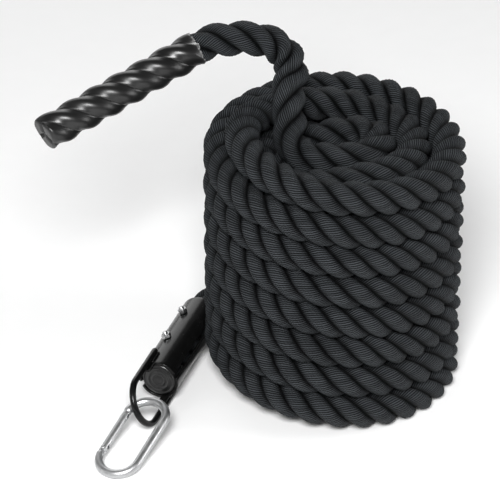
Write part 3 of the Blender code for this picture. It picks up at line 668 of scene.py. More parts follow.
    def build(
        self, clamp: Matrix, shell_length: float, start_in_clamp: float, grip: "GripSleeve"
    ) -> tuple[Array, Array]:
        """The whole free line of the rope, from inside the clamp to the grip's closed end.

        Args:
            clamp: the clamp's frame, in the row frame.
            shell_length: the clamp shells' length.
            start_in_clamp: where the line starts, along the clamp from its front.
            grip: the grip that it ends in.

        Returns:
            Points one spacing apart, (n, 3), and the turns travelled at each; before the coil the turns are
            below 0 and after it they are above its last.
        """
        stand = np.array(COIL_PLACE)
        spacing = 0.002
        fine = np.arange(0, self.end_turn, 1 / self.fine_points_a_turn)
        turns = np.concatenate([fine, [self.end_turn]])
        coil = self.coil(turns)
        step = np.array([0.0, 1 / self.points_a_turn, self.end_turn - 1 / self.points_a_turn, self.end_turn])
        ends = self.coil(step)
        out_of = normalised(ends[0] - ends[1])
        on_from = normalised(ends[3] - ends[2])
        start = ends[0] + self.diameter * out_of
        end = ends[3] + self.diameter * on_from
        radius = self.diameter / 2
        stations = (start_in_clamp, shell_length, shell_length + SEAT_GAP, shell_length + radius)
        in_line = moved(np.array([[0, y, 0] for y in stations]), clamp) - stand
        inside, leave = in_line[:2], in_line[2:]
        tail = self.eased([*leave, start + out_of * radius, start + out_of * SEAT_GAP], spacing)
        mouth = np.array(grip.mouth)
        direction = grip.direction_unit()
        lead = radius * self.lead_share
        free = self.eased([
            end + on_from * SEAT_GAP, end + on_from * lead, *self.free_end,
            mouth - direction * lead, mouth - direction * SEAT_GAP,
        ], spacing)
        depth = grip.length - grip.end_thickness - SEAT_GAP
        held = mouth + direction * depth * np.array([[0.0], [1.0]])
        line = np.concatenate([inside, tail, start[None], coil, end[None], free, held])
        travelled = np.concatenate([
            np.full(len(inside) + len(tail) + 1, -1.0), turns,
            np.full(1 + len(free) + len(held), self.end_turn + 1),
        ])
        along = lengths_along(line)
        even = np.linspace(0, along[-1], math.ceil(along[-1] / spacing) + 1)
        points = resampled(line, even)
        reach = np.interp(even, self.tail_bend, (0.0, 1.0, 1.0, 0.0))[:, None]
        smooth = averaged(points, 9) * (1 - reach) + averaged(points, 31) * reach
        return smooth + stand, np.interp(even, along, travelled)


def averaged(points: Array, width: int) -> Array:
    """A line with each point the mean of those about it; the ends keep their places."""
    half = width // 2
    lead = 2 * points[0] - points[half:0:-1]
    trail = 2 * points[-1] - points[-2 : -2 - half : -1]
    padded = np.concatenate([lead, points, trail])
    kernel = np.ones(width) / width
    return np.stack([np.convolve(padded[:, k], kernel, mode="valid") for k in range(3)], axis=1)


@dataclass(frozen=True)
class Strands:
    """Section of a three-strand rope: each strand's back is an arc, and the strands meet in grooves."""

    count: int = 3
    rope_radius: float = 0.0200
    back_radius: float = 0.0115
    coil_lay: float = 0.082
    end_lay: float = 0.092
    yarns: int = 26
    yarn_slant: float = 1.18
    groove_depth: float = 0.9 * MM
    groove_width_deg: float = 3.5
    unevenness: float = 0.25 * MM
    # Points of one strand's back, in degrees from its crown; the last one is the groove to the next strand
    angles_deg: tuple[float, ...] = (
        -54.0, -47.0, -38.0, -27.0, -14.0, 0.0, 14.0, 27.0, 38.0, 47.0, 54.0, 60.0,
    )

    def offset(self) -> float:
        """Distance from the rope's axis to the centre of a back's arc."""
        return self.rope_radius - self.back_radius

    def radius_at(self, from_crown: Array) -> Array:
        """Distance from the rope's axis at an angle from a crown, with a tight crease between strands."""
        round_back = lobe_radius(self.offset(), self.back_radius, from_crown)
        width = math.radians(self.groove_width_deg)
        crease = np.exp(-(((np.abs(from_crown) - math.pi / self.count) / width) ** 2))
        return round_back - self.groove_depth * crease

    def turned(self, along: Array, coiled: Array) -> Array:
        """Angle by which the strands have turned: the integral of 2 pi / lay, which wavers a little.

        Args:
            along: distance along the rope at each ring.
            coiled: 1 where the rope is in the coil and 0 in its straight ends.

        Returns:
            The angle at each ring, in radians.
        """
        lay = self.end_lay + (self.coil_lay - self.end_lay) * coiled
        lay = lay * (1 + 0.02 * np.sin(along * 5.1 + 1.0) + 0.015 * np.sin(along * 13.7))
        steps = np.diff(along) * (1 / lay[1:] + 1 / lay[:-1]) / 2
        return FULL_TURN * np.concatenate([[0.0], np.cumsum(steps)])

    def skin(
        self, name: str, path: Path, along: Array, turned: Array,
        floor: float | None = None, size: Array | float = 1.0,
    ) -> Mesh:
        """The rope's surface, with grid lines that turn with the strands.

        A point at angle a from the crown of strand k on a ring is at angle turned + a + 120 k degrees round
        the axis, at the radius that the section gives.

        Args:
            name: the mesh's name.
            path: ring centres and frames.
            along: distance along the rope at each ring.
            turned: the strands' turn at each ring, in radians.
            floor: a height that no point goes below, or None.
            size: the section's size at each ring, 1 where the rope isn't squeezed.

        Returns:
            The mesh, with a yarn UV map and an attribute that runs from 0 on the strands' crowns to 1 in
            their grooves, by which the yarn material paints shade into the grooves.
        """
        local = np.radians(np.tile(self.angles_deg, self.count))
        strand = np.repeat(np.arange(self.count), len(self.angles_deg))
        base = strand * FULL_TURN / self.count + local
        uneven = self.unevenness * np.sin(along[:, None] * 23.0 + strand[None] * 2.1)
        uneven = uneven * np.cos(along[:, None] * 7.3)
        radius = self.radius_at(local)[None, :] + uneven * np.cos(local * 1.5)[None, :]
        radius = radius * np.broadcast_to(size, along.shape)[:, None]
        angle = turned[:, None] + base[None, :]
        grid = path.surface(radius * np.cos(angle), radius * np.sin(angle))
        if floor is not None:
            grid[..., 2] = np.maximum(grid[..., 2], floor)
        mesh = closed_skin(name, grid)
        # How deep each point lies in a groove between strands; the yarn material darkens the colour by it as
        # painted shade
        groove_shade = np.broadcast_to((np.abs(local) / (math.pi / self.count)) ** 3, grid.shape[:2])
        add_attribute(mesh, "groove_shade", np.concatenate([groove_shade.ravel(), [0.5, 0.5]]))
        self.map_yarns(mesh, along, turned, len(base))
        return mesh

    def map_yarns(self, mesh: Mesh, along: Array, turned: Array, columns: int) -> None:
        """Adds the yarn map: u = yarns (b + s (R / r) turned) / 2 pi, v = distance along + 40 a strand.

        b is the angle round the strand's own centre, R the rope's and r the back's radius. With a slant s of
        1 the yarns would run along the rope; a little more turns them the other way than the strands.

        Args:
            mesh: the rope's mesh, whose first faces are the grid's quads.
            along: distance along the rope at each ring.
            turned: the strands' turn at each ring.
            columns: points of a ring.
        """
        per = columns // self.count
        j = np.arange(columns)
        strand = j // per
        right = np.radians(np.array(self.angles_deg))[j % per]
        left = np.where(j % per == 0, -math.pi / self.count, np.roll(right, 1))
        d = self.offset()

        def round_strand(a: Array) -> Array:
            """Angle round the strand's centre of a point at angle a round the rope's axis."""
            r = self.radius_at(a)
            return np.arctan2(r * np.sin(a), r * np.cos(a) - d)

        twist = self.yarn_slant * self.rope_radius / self.back_radius * turned / FULL_TURN
        # The quad of column j runs from point j to point j + 1, so its own strand is that of point j + 1
        after = (j + 1) % columns
        u_near = self.yarns * (round_strand(left[after])[None] / FULL_TURN + twist[:, None])
        u_far = self.yarns * (round_strand(right[after])[None] / FULL_TURN + twist[:, None])
        v = along[:, None] + 40.0 * strand[after][None]
        rows = len(along)
        quads = np.empty((rows - 1, columns, 4, 2))
        for corner, (u, row) in enumerate(((u_near, 0), (u_far, 0), (u_far, 1), (u_near, 1))):
            quads[:, :, corner, 0] = u[row : rows - 1 + row]
            quads[:, :, corner, 1] = v[row : rows - 1 + row]
        loops = np.zeros((len(mesh.loops), 2), np.float32)
        loops[: quads.size // 2] = quads.reshape(-1, 2)
        layer = mesh.uv_layers.new(name="yarn")
        layer.data.foreach_set("uv", loops.ravel())


@dataclass(frozen=True)
class GripSleeve:
    """Rubber sleeve on the rope's free end: three lobes that turn with the strands, and one closed end."""

    mouth: tuple[float, float, float] = (-0.1560, 0.0740, 0.3770)
    direction: tuple[float, float, float] = (-0.834, -0.469, -0.289)
    length: float = 0.200
    end_thickness: float = 0.0030
    wall: float = 0.0010
    crown_radius: float = 0.0205
    back_radius: float = 0.0124
    bridge: float = 0.0020
    end_round: float = 0.0040
    end_tilt_deg: float = 9.0
    crease_depth: float = 0.0028
    crease_width: float = 0.0024
    rim_unevenness: float = 0.9 * MM
    rim_reach: float = 0.0035
    tilt_reach: float = 0.012
    trim_reach: float = 0.0012
    columns: int = 96
    row_step: float = 0.0025
    # Rings of the closed end's face, as shares of the radius at its edge
    face_rings: tuple[float, ...] = (0.86, 0.72, 0.58, 0.45, 0.33, 0.22, 0.12, 0.05)
    finish: RubberFinish = RubberFinish("shrunk_grip_rubber", 0.007, 0.34, 0.012 * MM, True)

    def direction_unit(self) -> Array:
        """The sleeve's axis, from its mouth to its closed end."""
        return normalised(np.array(self.direction))

    def radius_at(self, angle: Array) -> Array:
        """Outer radius at an angle from the first crown: three lobes with bridged grooves between."""
        third = FULL_TURN / 3
        a = from_nearest(angle, third)
        lobe = lobe_radius(self.crown_radius - self.back_radius, self.back_radius, a)
        return lobe + self.bridge * np.exp(-(((np.abs(a) - third / 2) / math.radians(17)) ** 2))

    def build(self, turned: Array) -> Piece:
        """Adds the sleeve.

        The rows run from the inner pole back to the mouth, over the ragged rim, along the outside and over
        the rounded end, whose face has a crease from its middle to each groove.

        Args:
            turned: pairs of distance from the mouth and the strands' turn there, (2, n).

        Returns:
            The sleeve.
        """
        angle = ring_angles(self.columns)
        low = self.length - self.end_round
        count = math.ceil(low / self.row_step)
        outside = np.linspace(0, low, count + 1)[1:]
        inside = np.linspace(self.length - self.end_thickness, 0.0012, 12)
        bend = np.radians(np.array([22.0, 45.0, 67.0, 90.0]))
        face = np.array(self.face_rings)
        ragged = np.sin(5 * angle + 1) + 0.7 * np.sin(11 * angle) + 0.6 * np.sin(23 * angle + 2)
        ragged = self.rim_unevenness * ragged
        along = np.concatenate([inside, [0.0004, 0.0, 0.0008], outside, low + self.end_round * np.sin(bend)])
        shrink = np.concatenate([
            np.full(len(inside), self.wall), [self.wall * 0.75, self.wall * 0.35, 0.0],
            np.zeros(len(outside)), self.end_round * (1 - np.cos(bend)),
        ])
        along = np.concatenate([along, np.full(len(face), self.length)])
        turn = np.interp(along, turned[0], turned[1])
        radius = self.radius_at(np.broadcast_to(angle, (len(along), self.columns)))
        last = len(along) - len(face)
        radius[:last] -= shrink[:, None]
        radius[last:] = radius[last - 1] * face[:, None]
        radius += 0.12 * MM * np.sin(along * 61 + 0.8)[:, None] * np.minimum(1, radius / self.crown_radius)
        third = FULL_TURN / 3
        from_groove = np.abs(angle % third - third / 2)
        beside = radius * np.sin(np.minimum(from_groove, math.pi / 2))[None]
        crease = self.crease_depth * np.exp(-((beside / self.crease_width) ** 2))
        place = np.broadcast_to(along[:, None], radius.shape).copy()
        place[last - 1 :] -= crease[last - 1 :]
        near = np.exp(-along / self.rim_reach)
        place[:last] += ragged[None] * near[:last, None]
        axis = self.direction_unit()
        centre = np.array(self.mouth) + np.array(COIL_PLACE)
        path = Path.level(np.stack([centre, centre + axis]))
        spread = turn[:, None] + angle[None]
        across, above = radius * np.cos(spread), radius * np.sin(spread)
        # The end is cut a little aslant: its side towards -y is set back and the other one forward
        slope = math.tan(math.radians(self.end_tilt_deg))
        slant = np.exp((along - self.length) / self.tilt_reach)[:, None] * slope
        place += slant * across * path.side[0][1]
        grid = centre + path.side[0] * across[..., None] + path.up[0] * above[..., None]
        grid = grid + axis * place[..., None]
        mesh = closed_skin("grip_sleeve_skin", grid)
        fading = 0.5 * np.exp(-outside / self.trim_reach)
        rim = np.concatenate([np.zeros(len(inside)), [0.8, 1.0, 0.7], fading])
        trim = np.zeros(grid.shape[:2])
        trim[: len(rim)] = rim[:, None]
        add_attribute(mesh, "trim", np.concatenate([trim.ravel(), [0, 0]]))
        return add_piece(mesh, self.finish.build(), Body.ROPE, ("grip_sleeve",))


def rod(name: str, path: Path, radius: float, sides: int, ripple: float = 0.0, pitch: float = 1.0) -> Mesh:
    """A round rod with half-round ends.

    Each ring has radius r; past each end come rings at r cos f, pushed out by r sin f. A ripple makes the
    radius r (1 + ripple |sin(pi s / pitch)|) at distance s.

    Args:
        name: the mesh's name.
        path: ring centres and frames.
        radius: the rod's radius.
        sides: points of a ring.
        ripple: share of the radius by which a weld's scales stand proud.
        pitch: length of a scale.

    Returns:
        The mesh.
    """
    count = len(path.centres)
    bend = np.radians([75.0, 55.0, 36.0, 18.0])
    pick = np.concatenate([np.zeros(4, int), np.arange(count), np.full(4, count - 1)])
    size = np.concatenate([np.cos(bend), np.ones(count), np.cos(bend)[::-1]]) * radius
    ahead = np.concatenate([-np.sin(bend), np.zeros(count), np.sin(bend)[::-1]]) * radius
    along = lengths_along(path.centres)[pick]
    size = size * (1 + ripple * np.abs(np.sin(math.pi * along / pitch)))
    angle = ring_angles(sides)
    whole = Path(path.centres[pick], path.axis[pick], path.side[pick], path.up[pick])
    grid = whole.surface(size[:, None] * np.cos(angle), size[:, None] * np.sin(angle), ahead[:, None])
    ends = path.centres[0] - path.axis[0] * radius, path.centres[-1] + path.axis[-1] * radius
    return closed_skin(name, grid, ends)


def turned_piece(name: str, profile: list[tuple[float, float]], sides: int) -> Mesh:
    """A turned shape about its own z: a point of the profile at (r, h) goes round at radius r and height h.

    Args:
        name: the mesh's name.
        profile: radius and height of each ring, from the lowest; the poles lie level with the end rings.
        sides: points of a ring.

    Returns:
        The mesh.
    """
    rings = np.array(profile, float)
    angle = ring_angles(sides)
    r, height = rings[:, :1], rings[:, 1:]
    return closed_skin(name, points_at(r * np.cos(angle), r * np.sin(angle), height))


def rounded_plate(name: str, outline: Array, half_thickness: float, edge: float) -> Mesh:
    """A flat plate in x and y: rings of the outline, drawn in by edge (1 - cos f) towards each face.

    Args:
        name: the mesh's name.
        outline: points of the outline, anticlockwise, (n, 2).
        half_thickness: half of the plate's thickness.
        edge: the edges' rounding.

    Returns:
        The mesh.
    """
    ahead = np.roll(outline, -1, axis=0) - outline
    behind = outline - np.roll(outline, 1, axis=0)
    tangent = normalised(normalised(ahead) + normalised(behind))
    inward = np.stack([-tangent[:, 1], tangent[:, 0]], axis=1)
    bend = np.radians([90.0, 60.0, 30.0, 0.0])
    draw = edge * (1 - np.cos(bend))
    lift = half_thickness - edge + edge * np.sin(bend)
    draw = np.concatenate([draw, draw[::-1]])
    lift = np.concatenate([-lift, lift[::-1]])
    flat = outline[None] + inward[None] * draw[:, None, None]
    height = np.broadcast_to(lift[:, None, None], flat.shape[:2] + (1,))
    return flat_ended(name, np.concatenate([flat, height], axis=-1))


def shifted(mesh: Mesh, matrix: Matrix) -> Mesh:
    """The mesh, moved from a sub-assembly's own frame into the row frame."""
    mesh.transform(matrix)
    return mesh


@dataclass(frozen=True)
class Clamp:
    """Two half shells bolted over the rope's end, with a bent rod welded to their crowns as a pull ring.

    In its own frame y runs from the rope's end face back along the rope and z towards the nuts.
    """

    beside_turn: float = 0.03614
    nearest_along: float = 0.13712
    height: float = 0.0304
    heading_deg: float = 18.6
    roll_deg: float = 24.0
    shell_length: float = 0.147
    outer: float = 0.0235
    wall: float = 0.0030
    split: float = 0.0060
    tongue_width: float = 0.0110
    tongue_length: float = 0.0160
    bolts: tuple[float, float] = (0.0560, 0.1120)
    head_radius: float = 0.00575
    head_height: float = 0.0038
    head_rim: float = 0.0007
    shank_radius: float = 0.0030
    stub: float = 0.0030
    stub_chamfer: float = 0.0007
    thread_pitch: float = 0.001
    thread_depth: float = 0.32 * MM
    nut_flats: float = 0.0100
    nut_height: float = 0.0050
    ring_rod: float = 0.00375
    leg_on_shell: float = 0.0230
    ring_reach: float = 0.0700
    weld_beside: float = 3.2 * MM
    weld_height: float = 24.1 * MM
    weld_radius: float = 1.45 * MM
    weld_ripple: float = 0.16
    weld_pitch: float = 1.5 * MM
    rope_behind_cap: float = 0.0126
    # Rings on the end cap's face: radius, width and height
    cap_rings: tuple[tuple[float, float, float], ...] = (
        (0.0163, 0.0010, -0.0007), (0.0120, 0.0014, 0.0008), (0.0073, 0.0010, 0.0005), (0.0, 0.0030, -0.0006),
    )
    paint: PaintFinish = PaintFinish()
    zinc: PlatedFinish = PlatedFinish("zinc_plated_bolts", 0.46, 0.30)

    def matrix(self) -> Matrix:
        """The clamp's frame in the row frame."""
        heading = math.radians(self.heading_deg)
        across = np.array([-math.cos(heading), math.sin(heading), 0.0])
        along = np.array([math.sin(heading), math.cos(heading), 0.0])
        place = across * (OUTER_TURN + self.beside_turn) - along * self.nearest_along
        place = place + np.array(COIL_PLACE) + np.array([0, 0, self.height])
        turn = Euler((0, math.radians(-self.roll_deg), -heading), "XYZ")
        return Matrix.LocRotScale(Vector(place.tolist()), turn, None)

    def held_stretch(self, strands: Strands, turned: float, start: float) -> Mesh:
        """The stranded rope between the shells, in step with the free rope's turn where that starts."""
        along = np.linspace(self.rope_behind_cap, start - SEAT_GAP, 29)
        centres = moved(points_at(0, along, 0), self.matrix())
        turns = turned - FULL_TURN * (start - along) / strands.end_lay
        return strands.skin("rope_in_clamp", Path.level(centres), along, turns, size=CLAMPED_SIZE)

    def curved_plate(
        self, name: str, half_angle: Array, inset: Array, along: Array, turn: float
    ) -> Mesh:
        """A plate bent round the clamp's axis, with rounded lips and ends.

        A ring's outline is a rounded rectangle whose long sides are arcs: x = r sin(a + turn) and
        z = r cos(a + turn), with a within the half angle and r within the wall, both drawn in by the inset.

        Args:
            name: the mesh's name.
            half_angle: half of the plate's width at each ring, in radians.
            inset: how far the outline is drawn in at each ring.
            along: y of each ring.
            turn: the middle's angle from z, in radians.

        Returns:
            The mesh.
        """
        corner = 0.8 * MM
        arc = np.linspace(-1, 1, 41)
        flat = np.ones(len(arc))
        bend = np.radians([22.5, 45.0, 67.5])
        middle = self.outer - self.wall / 2
        half = self.wall / 2 - inset[:, None]
        reach = half_angle[:, None] - (inset[:, None] + corner) / middle
        ones = np.ones_like(reach)
        lip_angle = corner / middle * np.sin(bend)
        lip_draw = corner * (1 - np.cos(bend))
        angle = np.concatenate([
            reach * arc, reach + lip_angle, reach + lip_angle[::-1], -reach * arc,
            -reach - lip_angle, -reach - lip_angle[::-1],
        ], axis=1)
        radius = middle + np.concatenate([
            half * flat, half - lip_draw * ones, -half + lip_draw[::-1] * ones, -half * flat,
            -half + lip_draw * ones, half - lip_draw[::-1] * ones,
        ], axis=1)
        a = angle + turn
        return flat_ended(name, points_at(radius * np.sin(a), along[:, None], radius * np.cos(a)))

    def shell(self, name: str, turn: float) -> Mesh:
        """One half shell with the tongue at its front."""
        edge = 0.5 * MM
        bend = np.radians([0.0, 30.0, 60.0, 90.0])
        ends = edge * (1 - np.sin(bend))
        rise = edge * (1 - np.cos(bend))
        middle = np.linspace(0.004, self.shell_length - 0.004, 25)
        along = np.concatenate([rise, middle, self.shell_length - rise[::-1]])
        inset = np.concatenate([ends, np.zeros(len(middle)), ends[::-1]])
        half = math.pi / 2 - math.asin(self.split / 2 / self.outer)
        body = self.curved_plate(name, np.full(len(along), half), inset, along, turn)
        corner = 3.0 * MM
        quarter = np.radians(np.arange(0, 91, 15))
        back = np.concatenate([corner * (1 - np.cos(quarter)), [0.006, 0.011, 0.0168]])
        narrow = np.concatenate([corner * (1 - np.sin(quarter)), np.zeros(3)])
        width = self.tongue_width / 2 - narrow
        drawn = np.concatenate([ends, np.zeros(len(back) - 4)])
        tongue = self.curved_plate(
            name + "_tongue", width / (self.outer - self.wall / 2), drawn, back - self.tongue_length, turn
        )
        return shifted(joined(name, [body, tongue]), self.matrix())

    def ring_centres(self) -> Array:
        """The rod's line: two legs on the shells' crowns and a half round bow beyond the rope's end."""
        offset = self.outer + self.ring_rod + SEAT_GAP
        bow = -(self.ring_reach - offset)
        leg = np.linspace(self.leg_on_shell - self.ring_rod, bow, 20)
        turn = np.radians(np.arange(3, 180, 3))
        round_bow = points_at(0, bow - offset * np.sin(turn), offset * np.cos(turn))
        return np.concatenate([points_at(0, leg, offset), round_bow, points_at(0, leg[::-1], -offset)])

    def ring(self) -> Mesh:
        """The bent rod."""
        centres = moved(self.ring_centres(), self.matrix())
        normal = np.array(self.matrix().to_3x3().col[0])
        return rod("pull_ring_rod", Path.flat(centres, normal), self.ring_rod, 30)

    def welds(self) -> Mesh:
        """Four weld beads, one along each side of each leg."""
        beads = []
        along = np.linspace(0.0008, self.leg_on_shell - 0.003, 50)
        for side in (-1, 1):
            for crown in (-1, 1):
                line = points_at(side * self.weld_beside, along, crown * self.weld_height)
                path = Path.flat(moved(line, self.matrix()), np.array(self.matrix().to_3x3().col[2]))
                beads.append(rod("bead", path, self.weld_radius, 16, self.weld_ripple, self.weld_pitch))
        return joined("ring_weld_beads", beads)

    def bolt(self, along: float, name: str) -> Mesh:
        """A round-headed bolt through both shells at a place along the clamp, its thread past the nut."""
        seat = self.outer + SEAT_GAP
        tip = seat + self.nut_height + self.stub
        bend = np.radians(np.linspace(84, 8, 9))
        radius, shank = self.head_radius, self.shank_radius
        dome = self.head_height - self.head_rim
        profile = [(radius * math.cos(b), -seat - self.head_rim - dome * math.sin(b)) for b in bend]
        profile += [(radius, -seat - 0.0006), (radius - 0.0002, -seat), (shank, -seat)]
        thread_start = seat + self.nut_height - 0.0006
        height = np.arange(thread_start, tip - self.stub_chamfer, self.thread_pitch / 4)
        depth = self.thread_depth * np.abs(((height - thread_start) / self.thread_pitch) % 1 * 2 - 1)
        profile += [(shank, thread_start - 0.0002)]
        profile += list(zip((shank - depth).tolist(), height.tolist()))
        profile += [(shank - 0.0003, tip - 0.0004), (shank - self.stub_chamfer, tip)]
        mesh = turned_piece(name, profile, 40)
        return shifted(mesh, self.matrix() @ Matrix.Translation((0, along, 0)))

    def nut(self, along: float, name: str, turn_deg: float) -> Mesh:
        """A hexagon nut: r = half flats / cos(angle from a flat's middle), held inside a chamfer cone."""
        seat = self.outer + SEAT_GAP
        angle = ring_angles(96)
        hexagon = self.nut_flats / 2 / np.cos(from_nearest(angle, math.pi / 3))
        bore = np.full((1, len(angle)), self.shank_radius + 0.0003)
        top = self.nut_height
        lower = np.array([0.0, 0.0, 0.0001, 0.0005, 0.0010])
        rise = np.concatenate([[0.0004], lower, [top / 2], top - lower[::-1], [top - 0.0004]])
        cone = np.array([bore[0, 0] + 0.0004, 4.55 * MM, 4.75 * MM, 5.45 * MM, 6.3 * MM, 6.3 * MM])
        cone = np.concatenate([cone, cone[4::-1]])
        radius = np.concatenate([bore, np.minimum(hexagon[None], cone[:, None]), bore])
        spread = angle + math.radians(turn_deg)
        grid = points_at(radius * np.cos(spread), radius * np.sin(spread), (seat + rise)[:, None])
        rows, columns = grid.shape[:2]
        faces = ring_faces(rows + 1, columns) % (rows * columns)
        mesh = mesh_of(name, grid.reshape(-1, 3), [faces])
        return shifted(mesh, self.matrix() @ Matrix.Translation((0, along, 0)))

    def cap(self) -> Mesh:
        """The rubber cap on the rope's end: a rounded rim and rings moulded on its face.

        The face's height is the sum over the rings of h exp(-((r - ring) / width)^2).
        """
        rim = self.outer - self.wall - 0.0006
        edge = 2.2 * MM
        bend = np.radians(np.arange(0, 91, 15))
        wall = [(rim - 0.0008, -0.0120), (rim, -0.0112), (rim, -0.0060), (rim, -edge - 0.0008)]
        bevel = list(zip((rim - edge * (1 - np.cos(bend))).tolist(), (edge * (np.sin(bend) - 1)).tolist()))
        radius = np.linspace(rim - edge, 0.0004, 60)[1:]
        height = np.zeros_like(radius)
        for ring, width, rise in self.cap_rings:
            height += rise * np.exp(-(((radius - ring) / width) ** 2))
        profile = wall + bevel + list(zip(radius.tolist(), height.tolist()))
        mesh = turned_piece("moulded_end_cap", profile, 72)
        return shifted(mesh, self.matrix() @ Matrix.Rotation(math.pi / 2, 4, "X"))

    def build(self) -> None:
        """Adds the shells, the ring, its welds, the bolts, the nuts and the end cap."""
        paint, zinc = self.paint.build(), self.zinc.build()
        add_piece(self.shell("upper_shell", 0.0), paint, Body.ROPE, ("clamp_shell_upper",))
        add_piece(self.shell("lower_shell", math.pi), paint, Body.ROPE, ("clamp_shell_lower",))
        add_piece(self.ring(), paint, Body.ROPE, ("pull_ring",))
        add_piece(self.welds(), paint, Body.ROPE)
        for label, along, turn in zip(("front", "rear"), self.bolts, (8.0, 37.0)):
            bolt = self.bolt(along, f"{label}_bolt")
            add_piece(bolt, zinc, Body.ROPE, (f"clamp_bolt_{label}",))
            nut = self.nut(along, f"{label}_nut", turn)
            add_piece(nut, zinc, Body.ROPE, (f"clamp_nut_{label}",))
        cap = RubberFinish("moulded_cap_rubber", 0.007, 0.30, 0.05 * MM).build()
        add_piece(self.cap(), cap, Body.ROPE, ("rope_end_cap",))


def dress(node: str, material: Material) -> None:
    """Gives a CAD node that stays another material."""
    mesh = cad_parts[node].data
    mesh.materials.clear()
    mesh.materials.append(material)
    log.info("%s: dressed with %s", node, material.name)


@dataclass(frozen=True)
class SpringHook:
    """An oval hook of bent rod with a sprung gate; y is its long way and x points to the gate."""

    place: tuple[float, float, float] = (-0.1328, -0.1404, 0.0210)
    heading_deg: float = 152.6
    pitch_deg: float = -16.9
    roll_deg: float = 1.5
    rod_radius: float = 0.0050
    half_length: float = 0.0545
    half_width: float = 0.0232
    hinge: float = 0.0260
    shoulder: float = 0.0310
    tang_radius: float = 0.0042
    tang_half: float = 0.0020
    tang_length: float = 0.0085
    gate_radius: float = 0.0045
    gate_end: float = 0.0296
    slot_half: float = 0.0023
    slot_rest: float = 0.0202
    rivet_radius: float = 0.0015
    rivet_head: float = 2.6 * MM
    rivet_dome: float = 1.1 * MM
    notch_radius: float = 0.0022
    zinc: PlatedFinish = PlatedFinish("bright_zinc_hook", 0.54, 0.38)
    spring: PlatedFinish = PlatedFinish("spring_wire", 0.42, 0.32)

    def matrix(self) -> Matrix:
        """The hook's frame in the row frame."""
        turn = Euler([math.radians(v) for v in (self.pitch_deg, self.roll_deg, self.heading_deg)], "YXZ")
        return Matrix.LocRotScale(Vector(self.place), turn, None)

    def body(self) -> Mesh:
        """The bent rod and its two flattened ends."""
        straight = self.half_length - self.half_width
        turn = np.radians(np.arange(0, 181, 4))
        nose = points_at(self.half_width * np.cos(turn), -straight - self.half_width * np.sin(turn), 0)
        hinge = -nose
        rest = self.shoulder + self.rod_radius * 0.55
        first = np.array([[self.half_width, -rest, 0.0]])
        last = np.array([[self.half_width, rest, 0.0]])
        back = np.linspace(-straight, straight, 16)[1:-1]
        run = points_at(-self.half_width, back, 0)
        line = np.concatenate([first, nose[nose[:, 1] < -rest], run, hinge[hinge[:, 1] > rest], last])
        bent = rod("hook_rod", Path.flat(line, UP), self.rod_radius, 36)
        return shifted(joined("hook_rod", [bent, self.tang(1), self.tang(-1)]), self.matrix())

    def tang(self, side: int) -> Mesh:
        """A flattened end: a round tip about the pin; the nose's has a notch for the latch pin.

        Args:
            side: 1 at the hinge and -1 at the nose.

        Returns:
            The mesh.
        """
        r, middle = self.tang_radius, self.half_width
        tip = np.radians(np.arange(180, 361, 9))
        round_tip = np.stack([middle + r * np.cos(tip), self.hinge + r * np.sin(tip)], axis=1)
        root_end = self.hinge + self.tang_length
        root = np.array([[middle + r, root_end], [middle - r, root_end]])
        outline = np.concatenate([round_tip, root])
        if side < 0:
            cut = np.radians(np.arange(90, -91, -15))
            n = self.notch_radius
            notch = np.stack([middle - 0.0005 + n * np.cos(cut), self.hinge + n * np.sin(cut)], axis=1)
            lips = np.array([[middle - r + 0.0002, self.hinge + n]])
            low = np.array([[middle - r * 0.83, self.hinge - n]])
            below = round_tip[:, 1] < self.hinge - n
            right = round_tip[~below & (round_tip[:, 0] > middle)]
            outline = np.concatenate([low, round_tip[below], right, root, lips, notch])
            outline = np.stack([outline[:, 0], -outline[:, 1]], axis=1)[::-1]
        return rounded_plate("tang", outline, self.tang_half, 0.0005)

    def gate(self) -> Mesh:
        """The gate: a round bar whose ends are forks of two rounded ears."""
        y = np.array([-1.0, -0.985, 0.985, 1.0]) * self.slot_rest
        path = Path.flat(points_at(self.half_width, y, 0), UP)
        angle = ring_angles(40)
        size = np.array([0.93, 1.0, 1.0, 0.93])[:, None] * self.gate_radius
        pieces = [closed_skin("bar", path.surface(size * np.cos(angle), size * np.sin(angle)))]
        pieces += [self.ear(end, face) for end in (1, -1) for face in (1, -1)]
        return shifted(joined("gate_bar", pieces), self.matrix())

    def ear(self, end: int, face: int) -> Mesh:
        """One ear of a fork: a segment of the bar beside the slot, w(y) wide, rounded about the pin.

        Its end is 1 at the hinge and -1 at the nose, and its face is 1 above the slot and -1 below it.
        """
        r, s = self.gate_radius, self.slot_half
        widest = math.sqrt(r * r - s * s)
        middle = self.gate_end - widest
        bend = np.radians(np.array([0.0, 20, 40, 55, 68, 78, 86]))
        root = [self.slot_rest - 0.0008, self.slot_rest + 0.002]
        y = np.concatenate([root, middle + widest * np.sin(bend)])
        w = np.concatenate([[widest, widest], widest * np.cos(bend)])
        u = np.linspace(-1, 1, 15)
        x = w[:, None] * u
        top = np.sqrt(np.maximum(r * r - x * x, s * s))
        flat = x[:, ::-1]
        across = np.concatenate([x, flat], axis=1)
        above = np.concatenate([np.maximum(top, s + 0.00005), np.full_like(flat, s)], axis=1)
        grid = points_at(self.half_width + across, y[:, None], above)
        grid = grid * np.array([1.0, end, face])
        if end * face < 0:
            grid = grid[:, ::-1]
        return closed_skin("ear", grid)

